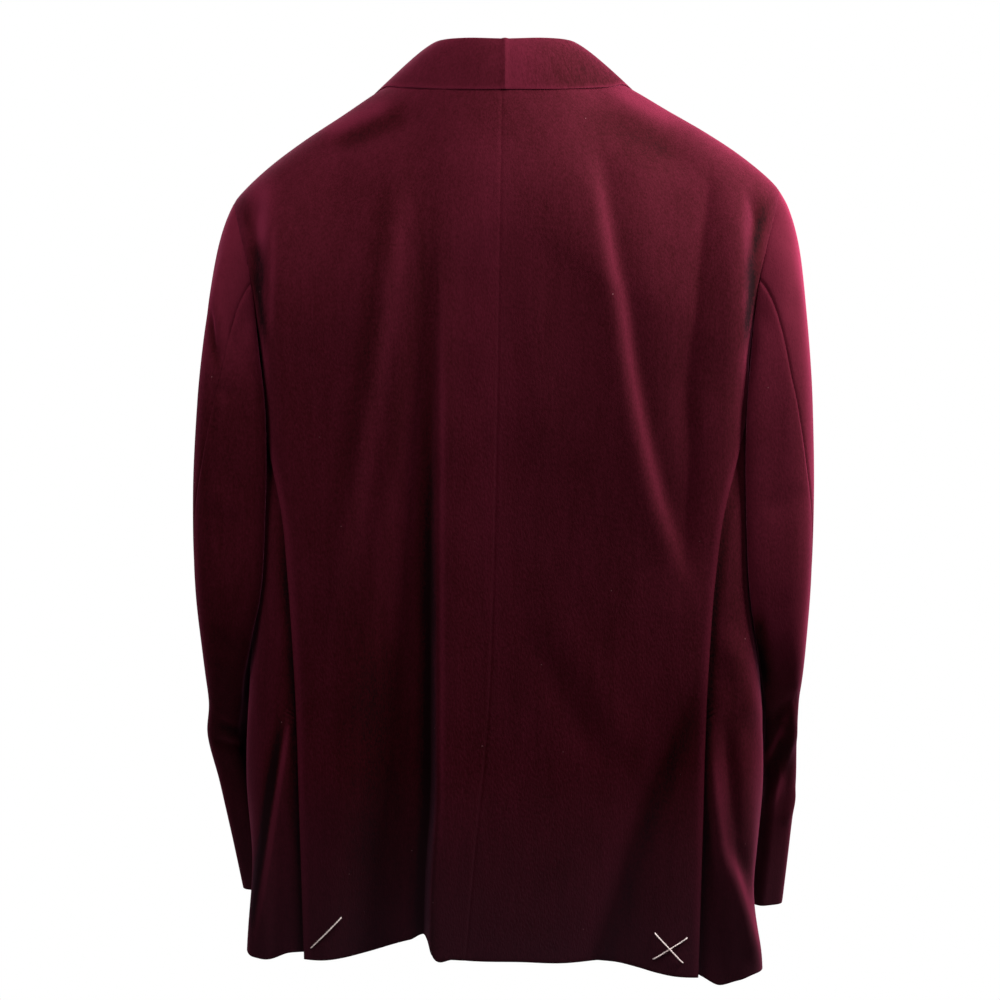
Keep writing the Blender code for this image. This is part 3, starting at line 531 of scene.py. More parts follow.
# Painted shade in the deep fold's hollow and on its slope, painted highlights right of it and on the riser's
# rim.
PAINTED_BANDS_FOLD = table(
    PAINTED_BANDS,
    (-0.75, -0.0085, 0.0085, (-0.080, -0.530, -0.800, -0.900)),
    (-0.34, -0.052, 0.0300, (-0.340, -0.520, -0.800, -0.900)),
    (0.16, 0.036, 0.0300, (-0.020, -0.070, -0.330, -0.480)),
    (0.45, 0.0015, 0.0030, (-0.140, -0.300, -0.520, -0.720)),
)
LEFT_RIDGE = table(
    LINE,
    (-0.420, -0.1250), (-0.340, -0.1145), (-0.259, -0.1010), (-0.178, -0.0880), (-0.138, -0.0816),
    (-0.060, -0.0780),
)
# Painted highlight on the left ridge's crest, with painted shade on either side of it.
PAINTED_BANDS_RIDGE = table(
    PAINTED_BANDS,
    (0.12, 0.000, 0.0060, (-0.080, -0.140, -0.300, -0.400)),
    (-0.20, -0.019, 0.0085, (-0.060, -0.100, -0.280, -0.380)),
    (-0.10, 0.017, 0.0080, (-0.080, -0.140, -0.280, -0.380)),
)
# Painted highlight on the steep flank right of the centre.
PAINTED_BANDS_FLANK = table(
    PAINTED_BANDS,
    (0.24, 0.000, 0.0065, (-0.060, -0.130, -0.280, -0.380)),
)
# Painted shade in the valley above the right hem, with a painted highlight on its left.
PAINTED_BANDS_HEM = table(
    PAINTED_BANDS,
    (-0.32, 0.006, 0.0100, (-0.450, -0.560, -0.800, -0.900)),
    (-0.14, 0.022, 0.0220, (-0.450, -0.560, -0.800, -0.900)),
    (0.12, -0.014, 0.0100, (-0.500, -0.640, -0.800, -0.900)),
)
# Painted highlight along the back's lower side edges, painted shade in the wedges beside the armholes.
PAINTED_BANDS_EDGE = table(
    PAINTED_BANDS,
    (0.40, -0.002, 0.0030, (-0.270, -0.340, -0.800, -0.900)),
    (-0.45, -0.012, 0.0055, (-0.085, -0.120, -0.150, -0.180)),
    (-0.55, -0.006, 0.0045, (-0.140, -0.170, -0.190, -0.230)),
)
# Painted strokes, with a tone for a height: painted shade in the shoulder hollows, painted highlights on the
# lit bands above them and along the left armhole.
BACK_PAINTED_STROKES = table(
    CREASE,
    (-0.0720, -0.023, -0.1500, -0.056, -0.28, 0.0100),
    (-0.0850, -0.013, -0.1560, -0.047, 0.50, 0.0075),
    (0.0560, -0.023, 0.1560, -0.068, -0.20, 0.0150),
    (0.0800, -0.003, 0.1500, -0.040, 0.34, 0.0060),
    (-0.1980, -0.074, -0.2010, -0.142, 0.55, 0.0110),
    (-0.1870, -0.110, -0.1890, -0.220, 0.36, 0.0030),
)


def painted_layer(strokes, past, z):
    """Painted light and shade beside a line, this far past it: how much lighter or darker the tone is made.
    """
    return sum(stroke.tone * np.exp(-(((past - stroke.aside) / stroke.width) ** 2)) * span(z, *stroke.span)
               for stroke in strokes)


def back_painted_shading(points, side):
    """The painted light and shade of a whole back panel: painted shade in the hollows, valleys and armhole
    wedges, painted highlights on the ridges, flanks and edges.
    """
    x, z = points[..., 0], points[..., 2]
    return (crease_height(BACK_PAINTED_STROKES, x, z) + painted_layer(PAINTED_BANDS_FOLD, x - along(DEEP_FOLD, "x", z), z)
            + painted_layer(PAINTED_BANDS_RIDGE, x - along(LEFT_RIDGE, "x", z), z)
            + painted_layer(PAINTED_BANDS_FLANK, x - along(BRIGHT_FLANK, "x", z), z)
            + painted_layer(PAINTED_BANDS_HEM, x - along(HEM_VALLEY, "x", z), z)
            + painted_layer(PAINTED_BANDS_EDGE, np.abs(x) - back_edge(z, side), z))


velvet = velvet_material("burgundy_velvet", NAP_TONE)
for side in (LEFT, RIGHT):
    across = shares(TIP_OUT, BACK_COLUMN)[:, None]
    top = top_height(back_x, across, side)
    hem = along(BACK_HEM, "z", back_x(across, CENTRE_BACK[0].z, side), by="x")
    z = lerp(top, hem, row_shares()[None, :])
    points = back_point(back_x(across, z, side), z)
    points[..., 1] = np.minimum(points[..., 1], -SEAM_GAP / 2)
    seams = (Seam("start", *CENTRE_PRESSED), Seam("top", *PRESSED), Seam("end", *TURNED))
    # Its tone carries the panel's painted light and shade.
    panel = cloth_piece(f"back_panel_{HAND[side]}", points, BACKWARDS, velvet, seams, back_painted_shading(points, side))
    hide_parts(f"back_{HAND[side]}")

# The side panels: one of the same velvet under each arm, from the armhole to the hem, sewn between the
# back and the front. Below the vent tops the back edge is a lap that lies behind the back panel.
PIT_Z, PIT_DIP = -0.262, 0.006
SIDE_HEM = table(
    "across left right",
    (0.00, -0.7180, -0.7250), (0.12, -0.7195, -0.7390), (0.19, -0.7205, -0.7480),
    (0.27, -0.7255, -0.7440), (0.36, -0.7245, -0.7390), (0.46, -0.7230, -0.7390),
    (0.75, -0.7410, -0.7450), (1.00, -0.7518, -0.7518),
)
SIDE_FLARE = table(
    "z across height",
    (-0.760, 0.40, 0.0085), (-0.660, 0.30, 0.0070), (-0.570, 0.20, 0.004), (-0.490, 0.14, 0.0),
)
FLARE_WIDTH, FLARE_HOLLOW_AT, FLARE_HOLLOW = 0.13, 0.27, 0.75
FLARE_ENDS = (0.06, 0.25)
SIDE_WIDTH, SIDE_COLUMN = 0.18, 0.0017
SIDE_ROWS, VENT_ROWS = 100, 12
SIDE_CREASES = {
    LEFT: table(
        CREASE,
        (-0.1740, -0.490, -0.2185, -0.760, 0.0045, 0.0060),
        (-0.2050, -0.330, -0.1980, -0.470, 0.0012, 0.0080),
    ),
    RIGHT: table(
        CREASE,
        (0.1570, -0.505, 0.1860, -0.690, 0.0045, 0.0060),
        (0.1775, -0.620, 0.2145, -0.745, 0.0045, 0.0065),
        (0.1790, -0.505, 0.2040, -0.690, -0.0055, 0.0085),
        (0.1930, -0.620, 0.2300, -0.745, -0.0045, 0.0070),
        (0.1780, -0.440, 0.2120, -0.540, 0.0030, 0.0100),
    ),
}
UNDER_BACK, UNDER_BACK_WIDTH = 0.0030, 0.0090  # the side panel dips in under the back's edge
SIDE_SHADE = {LEFT: -0.02, RIGHT: -0.10}  # painted shade on its outer part below the armhole
SIDE_SHADE_X, SIDE_SHADE_Z = (0.172, 0.190), (-0.270, -0.400)
CREASE_CLEAR = 0.008  # creases of the side panel start this far from the back edge
CREASE_BEHIND = (0.0, 0.03)  # and lie this far behind the side
# Painted shadow on the side panel beside the back's edge.
PAINTED_BANDS_LAP = table(
    PAINTED_BANDS,
    (-0.45, 0.002, 0.0050, (-0.300, -0.420, -0.800, -0.900)),
)
# Painted highlights and painted shade along the side panels' creases and beside the back's edge.
SIDE_PAINTED_STROKES = {
    LEFT: table(
        CREASE,
        (-0.1735, -0.495, -0.2115, -0.730, 1.10, 0.0019),
        (-0.1790, -0.495, -0.2170, -0.730, -0.75, 0.0048),
    ),
    RIGHT: table(
        CREASE,
        (0.1700, -0.540, 0.1920, -0.680, 0.40, 0.0050),
        (0.1850, -0.630, 0.2180, -0.730, 0.55, 0.0040),
    ),
}
VENT_EASE = 0.120  # below the vent top, how long the side panel takes to sink behind the back


def outward(points):
    """The level direction straight out from the body at points."""
    x, y, z = points[..., 0], points[..., 1], points[..., 2]
    depth = np.where(y < 0, along(BODY, "back_depth", z), along(BODY, "front_depth", z))
    away = stacked(x / along(BODY, "half_width", z) ** 2, y / depth**2, 0)
    return away / np.linalg.norm(away, axis=-1, keepdims=True)


def side_point(across, z, side):
    """Points of a side panel, across it from the back seam (0) to the front seam (1)."""
    half_width = along(BODY, "half_width", z)
    edge = back_edge(z, side)
    lapped = edge - VENT_LAP * ramp(z, VENT_TOP_Z, VENT_TOP_Z - VENT_STEP)
    back_squareness = along(BODY, "back_squareness", z)
    start = np.arccos((lapped / half_width) ** (back_squareness / 2))
    end = np.arccos((along(EDGES, "front", z) / half_width) ** (FRONT_SQUARENESS / 2))
    angle = lerp(start, -end, across)
    squareness = np.where(angle > 0, back_squareness, FRONT_SQUARENESS)
    depth = np.where(angle > 0, along(BODY, "back_depth", z), along(BODY, "front_depth", z))
    x = half_width * np.cos(angle) ** (2 / squareness)
    y = -np.copysign(depth * np.sin(np.abs(angle)) ** (2 / squareness), angle)
    crest = along(SIDE_FLARE, "across", z)
    flare = np.exp(-(((across - crest) / FLARE_WIDTH) ** 2))
    flare = flare - FLARE_HOLLOW * np.exp(-(((across - crest - FLARE_HOLLOW_AT) / FLARE_WIDTH) ** 2))
    seamed = ramp(across, 0, FLARE_ENDS[0]) * ramp(across, 1, 1 - FLARE_ENDS[1])
    tucked = ramp(z, VENT_TOP_Z + VENT_STEP, VENT_TOP_Z) * (1 - ramp(across, *VENT_TUCK_ACROSS))
    points = stacked(x, y, z)
    under = UNDER_BACK * np.exp(-(((x - edge) / UNDER_BACK_WIDTH) ** 2))
    eased = ramp(z, VENT_TOP_Z + VENT_STEP, VENT_TOP_Z - VENT_EASE) * (1 - ramp(across, *VENT_TUCK_ACROSS))
    lift = along(SIDE_FLARE, "height", z) * flare * seamed - VENT_TUCK * eased - under
    points = points + outward(points) * lift[..., None]
    points[..., 0] *= side
    behind = back_point(points[..., 0], z + 0 * x)[..., 1] + VENT_TUCK * tucked
    lap = (tucked > 0) & (np.abs(points[..., 0]) < edge)
    points[..., 1] = np.where(lap, np.maximum(points[..., 1], behind), points[..., 1])
    return points


for side in (LEFT, RIGHT):
    across = shares(SIDE_WIDTH, SIDE_COLUMN)[:, None]
    top = PIT_Z - PIT_DIP * np.sin(np.pi * across) - SEAM_GAP
    hem = along(SIDE_HEM, HAND[side], across, by="across")
    above = lerp(top, VENT_TOP_Z + VENT_STEP, np.linspace(0, 1, SIDE_ROWS))
    step = np.broadcast_to(np.linspace(VENT_TOP_Z + VENT_STEP, VENT_TOP_Z - VENT_STEP, VENT_ROWS),
                           (len(across), VENT_ROWS))
    below = lerp(VENT_TOP_Z - VENT_STEP + 0 * top, hem, np.linspace(0, 1, SIDE_ROWS))
    z = np.concatenate([above, step[:, 1:-1], below], axis=1)
    points = side_point(across, z, side)
    past = np.abs(points[..., 0]) - back_edge(z, side)
    folded = crease_height(SIDE_CREASES[side], points[..., 0], z) * ramp(-points[..., 1], *CREASE_BEHIND)
    points = points + outward(points) * (folded * ramp(past, 0, CREASE_CLEAR))[..., None]
    seams = (Seam("top", *PRESSED), Seam("end", *PRESSED))
    # Painted shade low on the outer part, painted highlights and shade along the strokes, painted shadow by
    # the back's edge.
    shade = SIDE_SHADE[side] * ramp(np.abs(points[..., 0]), *SIDE_SHADE_X) * ramp(z, *SIDE_SHADE_Z)
    nap = shade + crease_height(SIDE_PAINTED_STROKES[side], points[..., 0], z) + painted_layer(PAINTED_BANDS_LAP, past, z)
    panel = cloth_piece(f"side_panel_{HAND[side]}", points, np.array([side, 0.0, 0.0]), velvet, seams, nap)
    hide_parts(f"side_{HAND[side]}")

# The fronts: one panel a side, from the shoulder to the rounded quarter at the hem, the left one closing
# over the right. Above the closing their edges are the roll lines of the collar.
FRONT_HEM_Z, QUARTER_RISE, QUARTER_SHARE = -0.752, 0.060, 0.45
FRONT_EDGE = table(
    LINE,
    (-0.760, 0.0600), (-0.725, 0.0420), (-0.690, 0.0240), (-0.630, 0.0020), (-0.550, -0.0120),
    (-0.470, -0.0170), (-0.425, -0.0145), (-0.400, -0.0060), (-0.375, 0.0030), (-0.330, 0.0105),
    (-0.260, 0.0225), (-0.180, 0.0380), (-0.100, 0.0540), (-0.050, 0.0650), (-0.020, 0.0710),
    (0.0098, NECK_OUT),
)
OVERLAP_TUCK, OVERLAP_TOP_Z, OVERLAP_END_X = 0.0036, (-0.330, -0.360), (0.020, 0.050)
FRONT_COLUMN = 0.0026
FORWARDS = -BACKWARDS
FRONT_CREASES = {
    LEFT: table(
        CREASE,
        (-0.040, -0.420, -0.150, -0.380, 0.0014, 0.012),
        (-0.030, -0.430, -0.140, -0.480, -0.0014, 0.014),
        (-0.150, -0.180, -0.120, -0.360, 0.0016, 0.014),
        (-0.110, -0.520, -0.120, -0.740, 0.0016, 0.018),
        (-0.175, -0.150, -0.168, -0.290, -0.0020, 0.010),
    ),
    RIGHT: table(
        CREASE,
        (0.040, -0.410, 0.150, -0.360, 0.0013, 0.012),
        (0.030, -0.440, 0.130, -0.500, -0.0014, 0.014),
        (0.155, -0.170, 0.128, -0.340, 0.0015, 0.013),
        (0.100, -0.540, 0.116, -0.740, 0.0017, 0.018),
        (0.172, -0.160, 0.166, -0.300, -0.0019, 0.010),
    ),
}


def front_point(x, z, side):
    """Points of a front's middle surface; the right front is tucked behind the left at the overlap."""
    out = section_depth(x, z, "front_depth", FRONT_SQUARENESS) * over_shoulder(x, z)
    if side == RIGHT:
        out = out - OVERLAP_TUCK * (1 - ramp(x, *OVERLAP_END_X)) * ramp(z, *OVERLAP_TOP_Z)
    return stacked(x, out + crease_height(FRONT_CREASES[side], x, z), z)


def front_x(share, z, side):
    """Across a front, from its free edge or roll line (0) to the armhole or the side seam (1)."""
    return side * lerp(along(FRONT_EDGE, "x", z), along(EDGES, "front", z), share)


for side in (LEFT, RIGHT):
    across = shares(TIP_OUT - NECK_OUT, FRONT_COLUMN)[:, None]
    top = top_height(front_x, across, side)
    inward = np.clip(1 - across / QUARTER_SHARE, 0, 1)
    hem = FRONT_HEM_Z + QUARTER_RISE * (1 - np.sqrt(1 - inward**2))
    z = lerp(top, hem, row_shares()[None, :])
    points = front_point(front_x(across, z, side), z, side)
    points[..., 1] = np.maximum(points[..., 1], SEAM_GAP / 2)
    seams = (Seam("end", *PRESSED), Seam("top", *PRESSED))
    panel = cloth_piece(f"front_panel_{HAND[side]}", points, FORWARDS, velvet, seams)
    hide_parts(f"front_{HAND[side]}")

# The sleeves: each of two pieces, a wide top sleeve and an under sleeve, sewn along the hind arm and the
# fore arm and set into the armhole with a soft rounded head. They hang a little forward of the side seams.
SLEEVE = table(
    "z x y across along turn",
    (-0.715, 0.2080, 0.104, 0.0162, 0.062, 22),
    (-0.640, 0.2185, 0.087, 0.0162, 0.064, 18),
    (-0.580, 0.2270, 0.069, 0.0162, 0.067, 14),
    (-0.520, 0.2356, 0.036, 0.0142, 0.080, 8),
    (-0.470, 0.2389, 0.012, 0.0179, 0.090, 3),
    (-0.420, 0.2395, 0.001, 0.0220, 0.092, 1),
    (-0.340, 0.2370, -0.002, 0.0248, 0.092, 1),
    (-0.262, 0.2310, -0.005, 0.0265, 0.092, 0),
    (-0.180, 0.2205, -0.005, 0.0300, 0.091, 0),
    (-0.085, 0.2130, -0.002, 0.0320, 0.084, 0),
)
SLEEVE_SHIFT = table(
    "z left right",
    (-0.710, -0.0115, 0.0071), (-0.650, -0.0080, 0.0051), (-0.600, -0.0045, 0.0027),
    (-0.550, -0.0012, -0.0040), (-0.520, -0.0064, -0.0064), (-0.490, -0.0065, -0.0064),
    (-0.420, -0.0045, -0.0067), (-0.340, -0.0036, -0.0047), (-0.260, -0.0026, -0.0012),
    (-0.180, -0.0018, 0.0026), (-0.100, 0.0030, 0.0090),
)
CUFF_Z = {LEFT: -0.699, RIGHT: -0.714}
SLEEVE_ROUND = 3.2
PRESSED_ROUND = 6.0  # squareness of the pressed inner edge behind
# How far each sleeve's pressed edge reaches in behind the side panel, how much the right one's back face is
# turned out, and the painted light and shade added to each sleeve's tone at each height.
SLEEVE_LIP = table(
    "z left right right_turn left_nap right_nap",
    (-0.620, 0.0000, 0.0000, 0.08, 0.00, 0.15),
    (-0.560, 0.0030, 0.0040, 0.09, -0.10, -0.32),
    (-0.500, 0.0060, 0.0090, 0.10, -0.10, 0.10),
    (-0.450, 0.0120, 0.0120, 0.10, -0.10, 0.45),
    (-0.420, 0.0165, 0.0135, 0.10, -0.10, 0.25),
    (-0.340, 0.0180, 0.0150, 0.16, -0.10, 0.20),
    (-0.262, 0.0130, 0.0110, 0.20, -0.10, 0.25),
    (-0.180, 0.0060, 0.0030, 0.20, 0.35, 0.45),
    (-0.100, 0.0000, 0.0000, 0.08, 0.45, 0.45),
)
LIP_AT, LIP_WIDTH = 0.34, 0.08  # round the sleeve
HEAD_FADE, HIND_FADE = 0.045, 0.020  # how soon the sleeve's own form takes over, at the tip and behind
HIND_FADE_FROM = (0.2, 0.9)  # how far round to the back that is
ARMHOLE_GAP = (-0.0003, 0.0052)
ARMHOLE_STEPS, UNDERARM_STEPS = 60, 24
# Where the two seams lie round the sleeve, by the share of the way down it.
SLEEVE_SEAMS = table(
    "down hind fore",
    (0.00, 0.200, 0.670), (0.04, 0.224, 0.669), (0.10, 0.230, 0.666), (0.16, 0.218, 0.658),
    (0.22, 0.202, 0.650), (0.30, 0.176, 0.640), (0.40, 0.125, 0.633), (0.50, 0.080, 0.628),
    (1.00, 0.070, 0.600),
)
# Creases of the sleeves, seen from behind, on the half of each sleeve that faces back.
SLEEVE_CREASES = {
    LEFT: table(
        CREASE,
        (-0.2440, -0.178, -0.2325, -0.232, -0.0042, 0.0050),
        (-0.2360, -0.249, -0.2150, -0.2575, -0.0012, 0.0060),
        (-0.2500, -0.553, -0.2200, -0.564, -0.0026, 0.0050),
        (-0.2480, -0.330, -0.2100, -0.352, 0.0010, 0.0100),
        (-0.2450, -0.450, -0.2150, -0.476, -0.0014, 0.0100),
    ),
    RIGHT: table(
        CREASE,
        (0.2500, -0.530, 0.2250, -0.636, 0.0030, 0.0050),
        (0.2560, -0.600, 0.2420, -0.640, 0.0018, 0.0040),
        (0.2540, -0.505, 0.2200, -0.540, -0.0030, 0.0090),
        (0.2480, -0.330, 0.2120, -0.356, -0.0010, 0.0100),
        (0.2400, -0.145, 0.2330, -0.200, -0.0012, 0.0060),
    ),
}
# Painted highlights and painted shade along the sleeves' creases, seen from behind.
SLEEVE_PAINTED_STROKES = {
    LEFT: table(
        CREASE,
        (-0.2430, -0.180, -0.2315, -0.236, -0.45, 0.0035),
        (-0.2440, -0.526, -0.2170, -0.544, 0.35, 0.0022),
        (-0.2440, -0.534, -0.2170, -0.552, -0.30, 0.0050),
    ),
    RIGHT: table(
        CREASE,
        (0.2420, -0.520, 0.2150, -0.606, 1.10, 0.0022),
        (0.2420, -0.570, 0.2340, -0.620, 0.90, 0.0020),
        (0.2075, -0.425, 0.2180, -0.510, -0.90, 0.0060),
    ),
}
FACING_BACK = (0.0, 0.5)  # how far the cloth faces back where they show
SET_IN = (0.0004, 0.0015)  # the groove along the armhole
SLEEVE_WIDTH, SLEEVE_COLUMN, SLEEVE_ROWS, SLEEVE_ROW_POWER = 0.16, 0.0026, 190, 1.25


def armhole_loop(side):
    """Points round an armhole: from the shoulder down the back edge, under the arm, up the front edge."""
    tip_z = top_height(back_x, np.ones((1, 1)), side).item()
    down = lerp(tip_z, PIT_Z, np.linspace(0, 1, ARMHOLE_STEPS) ** 2)
    back = back_point(side * back_edge(down, side), down)
    round_under = np.linspace(0, 1, UNDERARM_STEPS)[1:-1]
    under = side_point(round_under, PIT_Z - PIT_DIP * np.sin(np.pi * round_under), side)
    front = front_point(side * along(EDGES, "front", down[::-1]), down[::-1], side)
    return np.concatenate([back, under, front])


def walk(points, share):
    """The points these shares of the way along a polyline."""
    length = np.r_[0, np.cumsum(np.linalg.norm(np.diff(points, axis=0), axis=1))]
    at = share * length[-1]
    return np.stack([np.interp(at, length, points[:, axis]) for axis in range(3)], axis=-1)


def sleeve_section_point(round_share, z, side):
    """Points of a sleeve's plain section; 0 is its outer side and 0.25 its back."""
    angle = 2 * np.pi * round_share
    pressed = (np.cos(angle) < 0) & (np.sin(angle) > 0)
    power = 2 / np.where(pressed, PRESSED_ROUND, SLEEVE_ROUND)
    across = np.copysign(np.abs(np.cos(angle)) ** power, np.cos(angle)) * along(SLEEVE, "across", z)
    lip = np.exp(-(((round_share % 1.0 - LIP_AT) / LIP_WIDTH) ** 2))
    across = across - lip * along(SLEEVE_LIP, HAND[side], z)
    lengthwise = np.copysign(np.abs(np.sin(angle)) ** power, -np.sin(angle)) * along(SLEEVE, "along", z)
    if side == RIGHT:
        outer = (1 + np.cos(angle)) / 2
        lengthwise = lengthwise * (1 - along(SLEEVE_LIP, "right_turn", z) * outer * (np.sin(angle) > 0))
    turn = np.radians(along(SLEEVE, "turn", z))
    x = along(SLEEVE, "x", z) + along(SLEEVE_SHIFT, HAND[side], z)
    x = x + across * np.cos(turn) - lengthwise * np.sin(turn)
    y = along(SLEEVE, "y", z) + across * np.sin(turn) + lengthwise * np.cos(turn)
    return stacked(side * x, y, z)


def sleeve_point(loop, round_share, down, side):
    """Points of a sleeve, these shares of the way down from their armhole point to the cuff."""
    start = walk(loop, round_share % 1.0)
    under = (1 - np.cos(2 * np.pi * round_share)) / 2
    start = start + outward(start) * lerp(*ARMHOLE_GAP, ramp(under, 0, 1))[..., None]
    z = lerp(start[..., 2], CUFF_Z[side], down)
    offset = start - sleeve_section_point(round_share, start[..., 2], side)
    behind = ramp(np.sin(2 * np.pi * round_share), *HIND_FADE_FROM)
    fade = np.exp(-(start[..., 2] - z) / lerp(HEAD_FADE, HIND_FADE, behind))
    return sleeve_section_point(round_share, z, side) + offset * fade[..., None]


for side in (LEFT, RIGHT):
    loop = armhole_loop(side)
    down = (np.linspace(0, 1, SLEEVE_ROWS) ** SLEEVE_ROW_POWER)[None, :]
    hind, fore = (along(SLEEVE_SEAMS, column, down, by="down") for column in ("hind", "fore"))
    across = shares(SLEEVE_WIDTH, SLEEVE_COLUMN)[:, None]
    for part, start, end in (("top", fore, 1 + hind), ("under", hind, fore)):
        points = sleeve_point(loop, lerp(start, end, across), down + 0 * across, side)
        outside = np.array([side if part == "top" else -side, 0.0, 0.0])
        normal = normals(points, outside)
        facing = ramp(-normal[..., 1], *FACING_BACK)
        creases = crease_height(SLEEVE_CREASES[side], points[..., 0], points[..., 2]) * facing
        points = points + normal * creases[..., None]
        x, z = points[..., 0], points[..., 2]
        # Painted light and shade by height, and along the creases where the cloth faces back.
        nap = along(SLEEVE_LIP, f"{HAND[side]}_nap", z) + crease_height(SLEEVE_PAINTED_STROKES[side], x, z) * facing
        seams = (Seam("start", *PRESSED), Seam("end", *PRESSED), Seam("top", *SET_IN))
        panel = cloth_piece(f"{part}_sleeve_{HAND[side]}", points, outside, velvet, seams, nap)
        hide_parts(f"sleeve_{part}_{HAND[side]}")

# The shawl collar: a strip of the velvet a side, seamed at the centre back, that stands up from the neck
# seam, rolls over and falls on the shoulders, then runs on without a notch as the lapel. The two halves are
# cut with their piles running opposite ways, so one catches the light and the other doesn't.
NECK_SECTIONS = table(
    "neck_x roll edge_x edge_z",
    (0.000, (0.000, -0.0610, 0.0335), 0.000, -0.0080),
    (0.034, (0.032, -0.0530, 0.0345), 0.046, -0.0075),
    (0.060, (0.054, -0.0310, 0.0335), 0.083, -0.0052),
    (0.0745, (0.062, 0.0030, 0.0285), 0.1025, 0.0),
)
COLLAR_LIFT, COLLAR_CLOTH = 0.0014, 0.0012
NECK_SEAM_RISE = 0.0012
LAPEL_SECTIONS = table(
    "roll_z edge_z edge_x",
    (-0.004, -0.026, 0.1200), (-0.045, -0.070, 0.1370), (-0.100, -0.128, 0.1410),
    (-0.180, -0.202, 0.1240), (-0.255, -0.272, 0.0900), (-0.310, -0.322, 0.0560),
    (-0.345, -0.354, 0.0190),
)
LAPEL_SEAM = 0.0012
LAPEL_LIFT, ROLL_LIFT, ROLL_IN = 0.0042, 0.0060, 0.004
FALL_BELLY, FALL_BELLY_AT, FALL_BELLY_SHARE = 0.0055, 0.28, 0.25
NECK_ROLL_RISE, NECK_ROLL_LENGTH = 0.014, 0.10
ROLL_SLOPE_STEP = 0.02
STAND_COLUMNS, FALL_COLUMNS, FALL_COLUMN_POWER, COLLAR_ROWS = 8, 36, 1.3, 240
COLLAR_PAINTED_LIGHT = {LEFT: (0.0, 0.0), RIGHT: (0.30, -0.30)}  # painted highlight at the centre back, and painted shade by the shoulder, on the right half
COLLAR_PAINTED_LIGHT_X, COLLAR_PAINTED_LIGHT_Y = (0.0, 0.065), (0.030, -0.010)
COLLAR_EDGE_HIGHLIGHT, COLLAR_EDGE_HIGHLIGHT_WIDTH = 0.55, 0.030  # painted highlight along the turned edge
COLLAR_TONE, COLLAR_STREAK = {LEFT: 0.70, RIGHT: 0.66}, {LEFT: STREAK, RIGHT: (430.0, 0.55)}


def collar_sections(side):
    """Neck seam, roll line and free edge of each section, from the centre back to the lapel's tip."""
    sections = []
    for section in NECK_SECTIONS:
        neck = back_point(side * section.neck_x, neckline(section.neck_x, side) + NECK_SEAM_RISE)
        edge_z = np.minimum(section.edge_z, shoulder_height(section.edge_x, side))
        edge = back_point(side * section.edge_x, edge_z)
        edge = edge + np.array([0, -1, 1 - over_shoulder(edge[0], edge[2])]) * COLLAR_LIFT
        sections.append([neck, np.array(section.roll) * np.array([side, 1, 1]), edge])
    for lapel in LAPEL_SECTIONS:
        inner = along(FRONT_EDGE, "x", lapel.roll_z) - LAPEL_SEAM
        neck = front_point(side * inner, lapel.roll_z, side)
        rise = NECK_ROLL_RISE * ramp(lapel.roll_z, -NECK_ROLL_LENGTH, 0)
        roll = front_point(side * (inner - ROLL_IN), lapel.roll_z, side) + np.array([0, ROLL_LIFT, rise])
        edge = front_point(side * lapel.edge_x, lapel.edge_z, side)
        edge = edge + np.array([0, 1, 1 - over_shoulder(edge[0], edge[2])]) * LAPEL_LIFT
        sections.append([neck, roll, edge])
    mirrored = [point * np.array([-1, 1, 1]) for point in sections[1]]
    return np.array([mirrored] + sections)


def curve_through(points, share):
    """Points on a smooth curve through a list of points, of which the first only sets its start's slope."""
    at = 1 + share * (len(points) - 2)
    i = np.minimum(at.astype(int), len(points) - 2)
    before, a, b, after = (points[np.clip(i + k, 0, len(points) - 1)] for k in (-1, 0, 1, 2))
    t = (at - i)[:, None]
    return (a * 2 + (b - before) * t + (before * 2 - a * 5 + b * 4 - after) * t * t
            + (a * 3 - before - b * 3 + after) * t**3) / 2


for side in (LEFT, RIGHT):
    sections = collar_sections(side)
    share = np.linspace(0, 1, COLLAR_ROWS)
    neck, roll, edge = (curve_through(sections[:, k], share) for k in range(3))
    ahead = curve_through(sections[:, 1], np.minimum(share + ROLL_SLOPE_STEP, 1))
    behind = curve_through(sections[:, 1], share - ROLL_SLOPE_STEP)
    fall = edge - roll
    reach = np.linalg.norm(fall, axis=1, keepdims=True)
    outside = np.cross(ahead - behind, fall)
    outside = -side * outside / np.linalg.norm(outside, axis=1, keepdims=True)
    middle = roll + fall * FALL_BELLY_AT + outside * np.minimum(FALL_BELLY, reach * FALL_BELLY_SHARE)
    stand = [lerp(neck, roll, k / STAND_COLUMNS) for k in range(STAND_COLUMNS)]
    turns = np.linspace(0, 1, FALL_COLUMNS) ** FALL_COLUMN_POWER
    points = np.stack(stand + [roll * (1 - t) ** 2 + middle * 2 * t * (1 - t) + edge * t * t for t in turns])
    points[:, 0, 0] = side * SEAM_GAP / 2
    collar_velvet = velvet_material(f"collar_velvet_{HAND[side]}", COLLAR_TONE[side], COLLAR_STREAK[side])
    seams = (Seam("top", *PRESSED),)
    # Painted highlight along the turned edge, and on the right half a painted highlight behind the neck that
    # fades to painted shade by the shoulder.
    nap = np.r_[np.zeros(STAND_COLUMNS), COLLAR_EDGE_HIGHLIGHT * np.exp(-(((1 - turns) / COLLAR_EDGE_HIGHLIGHT_WIDTH) ** 2))]
    behind_neck = lerp(*COLLAR_PAINTED_LIGHT[side], ramp(np.abs(points[..., 0]), *COLLAR_PAINTED_LIGHT_X))
    nap = nap[:, None] + behind_neck * ramp(points[..., 1], *COLLAR_PAINTED_LIGHT_Y)
    name = f"shawl_collar_{HAND[side]}"
    panel = cloth_piece(name, points, BACKWARDS, collar_velvet, seams, nap, COLLAR_CLOTH)
    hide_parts(f"collar_{HAND[side]}")

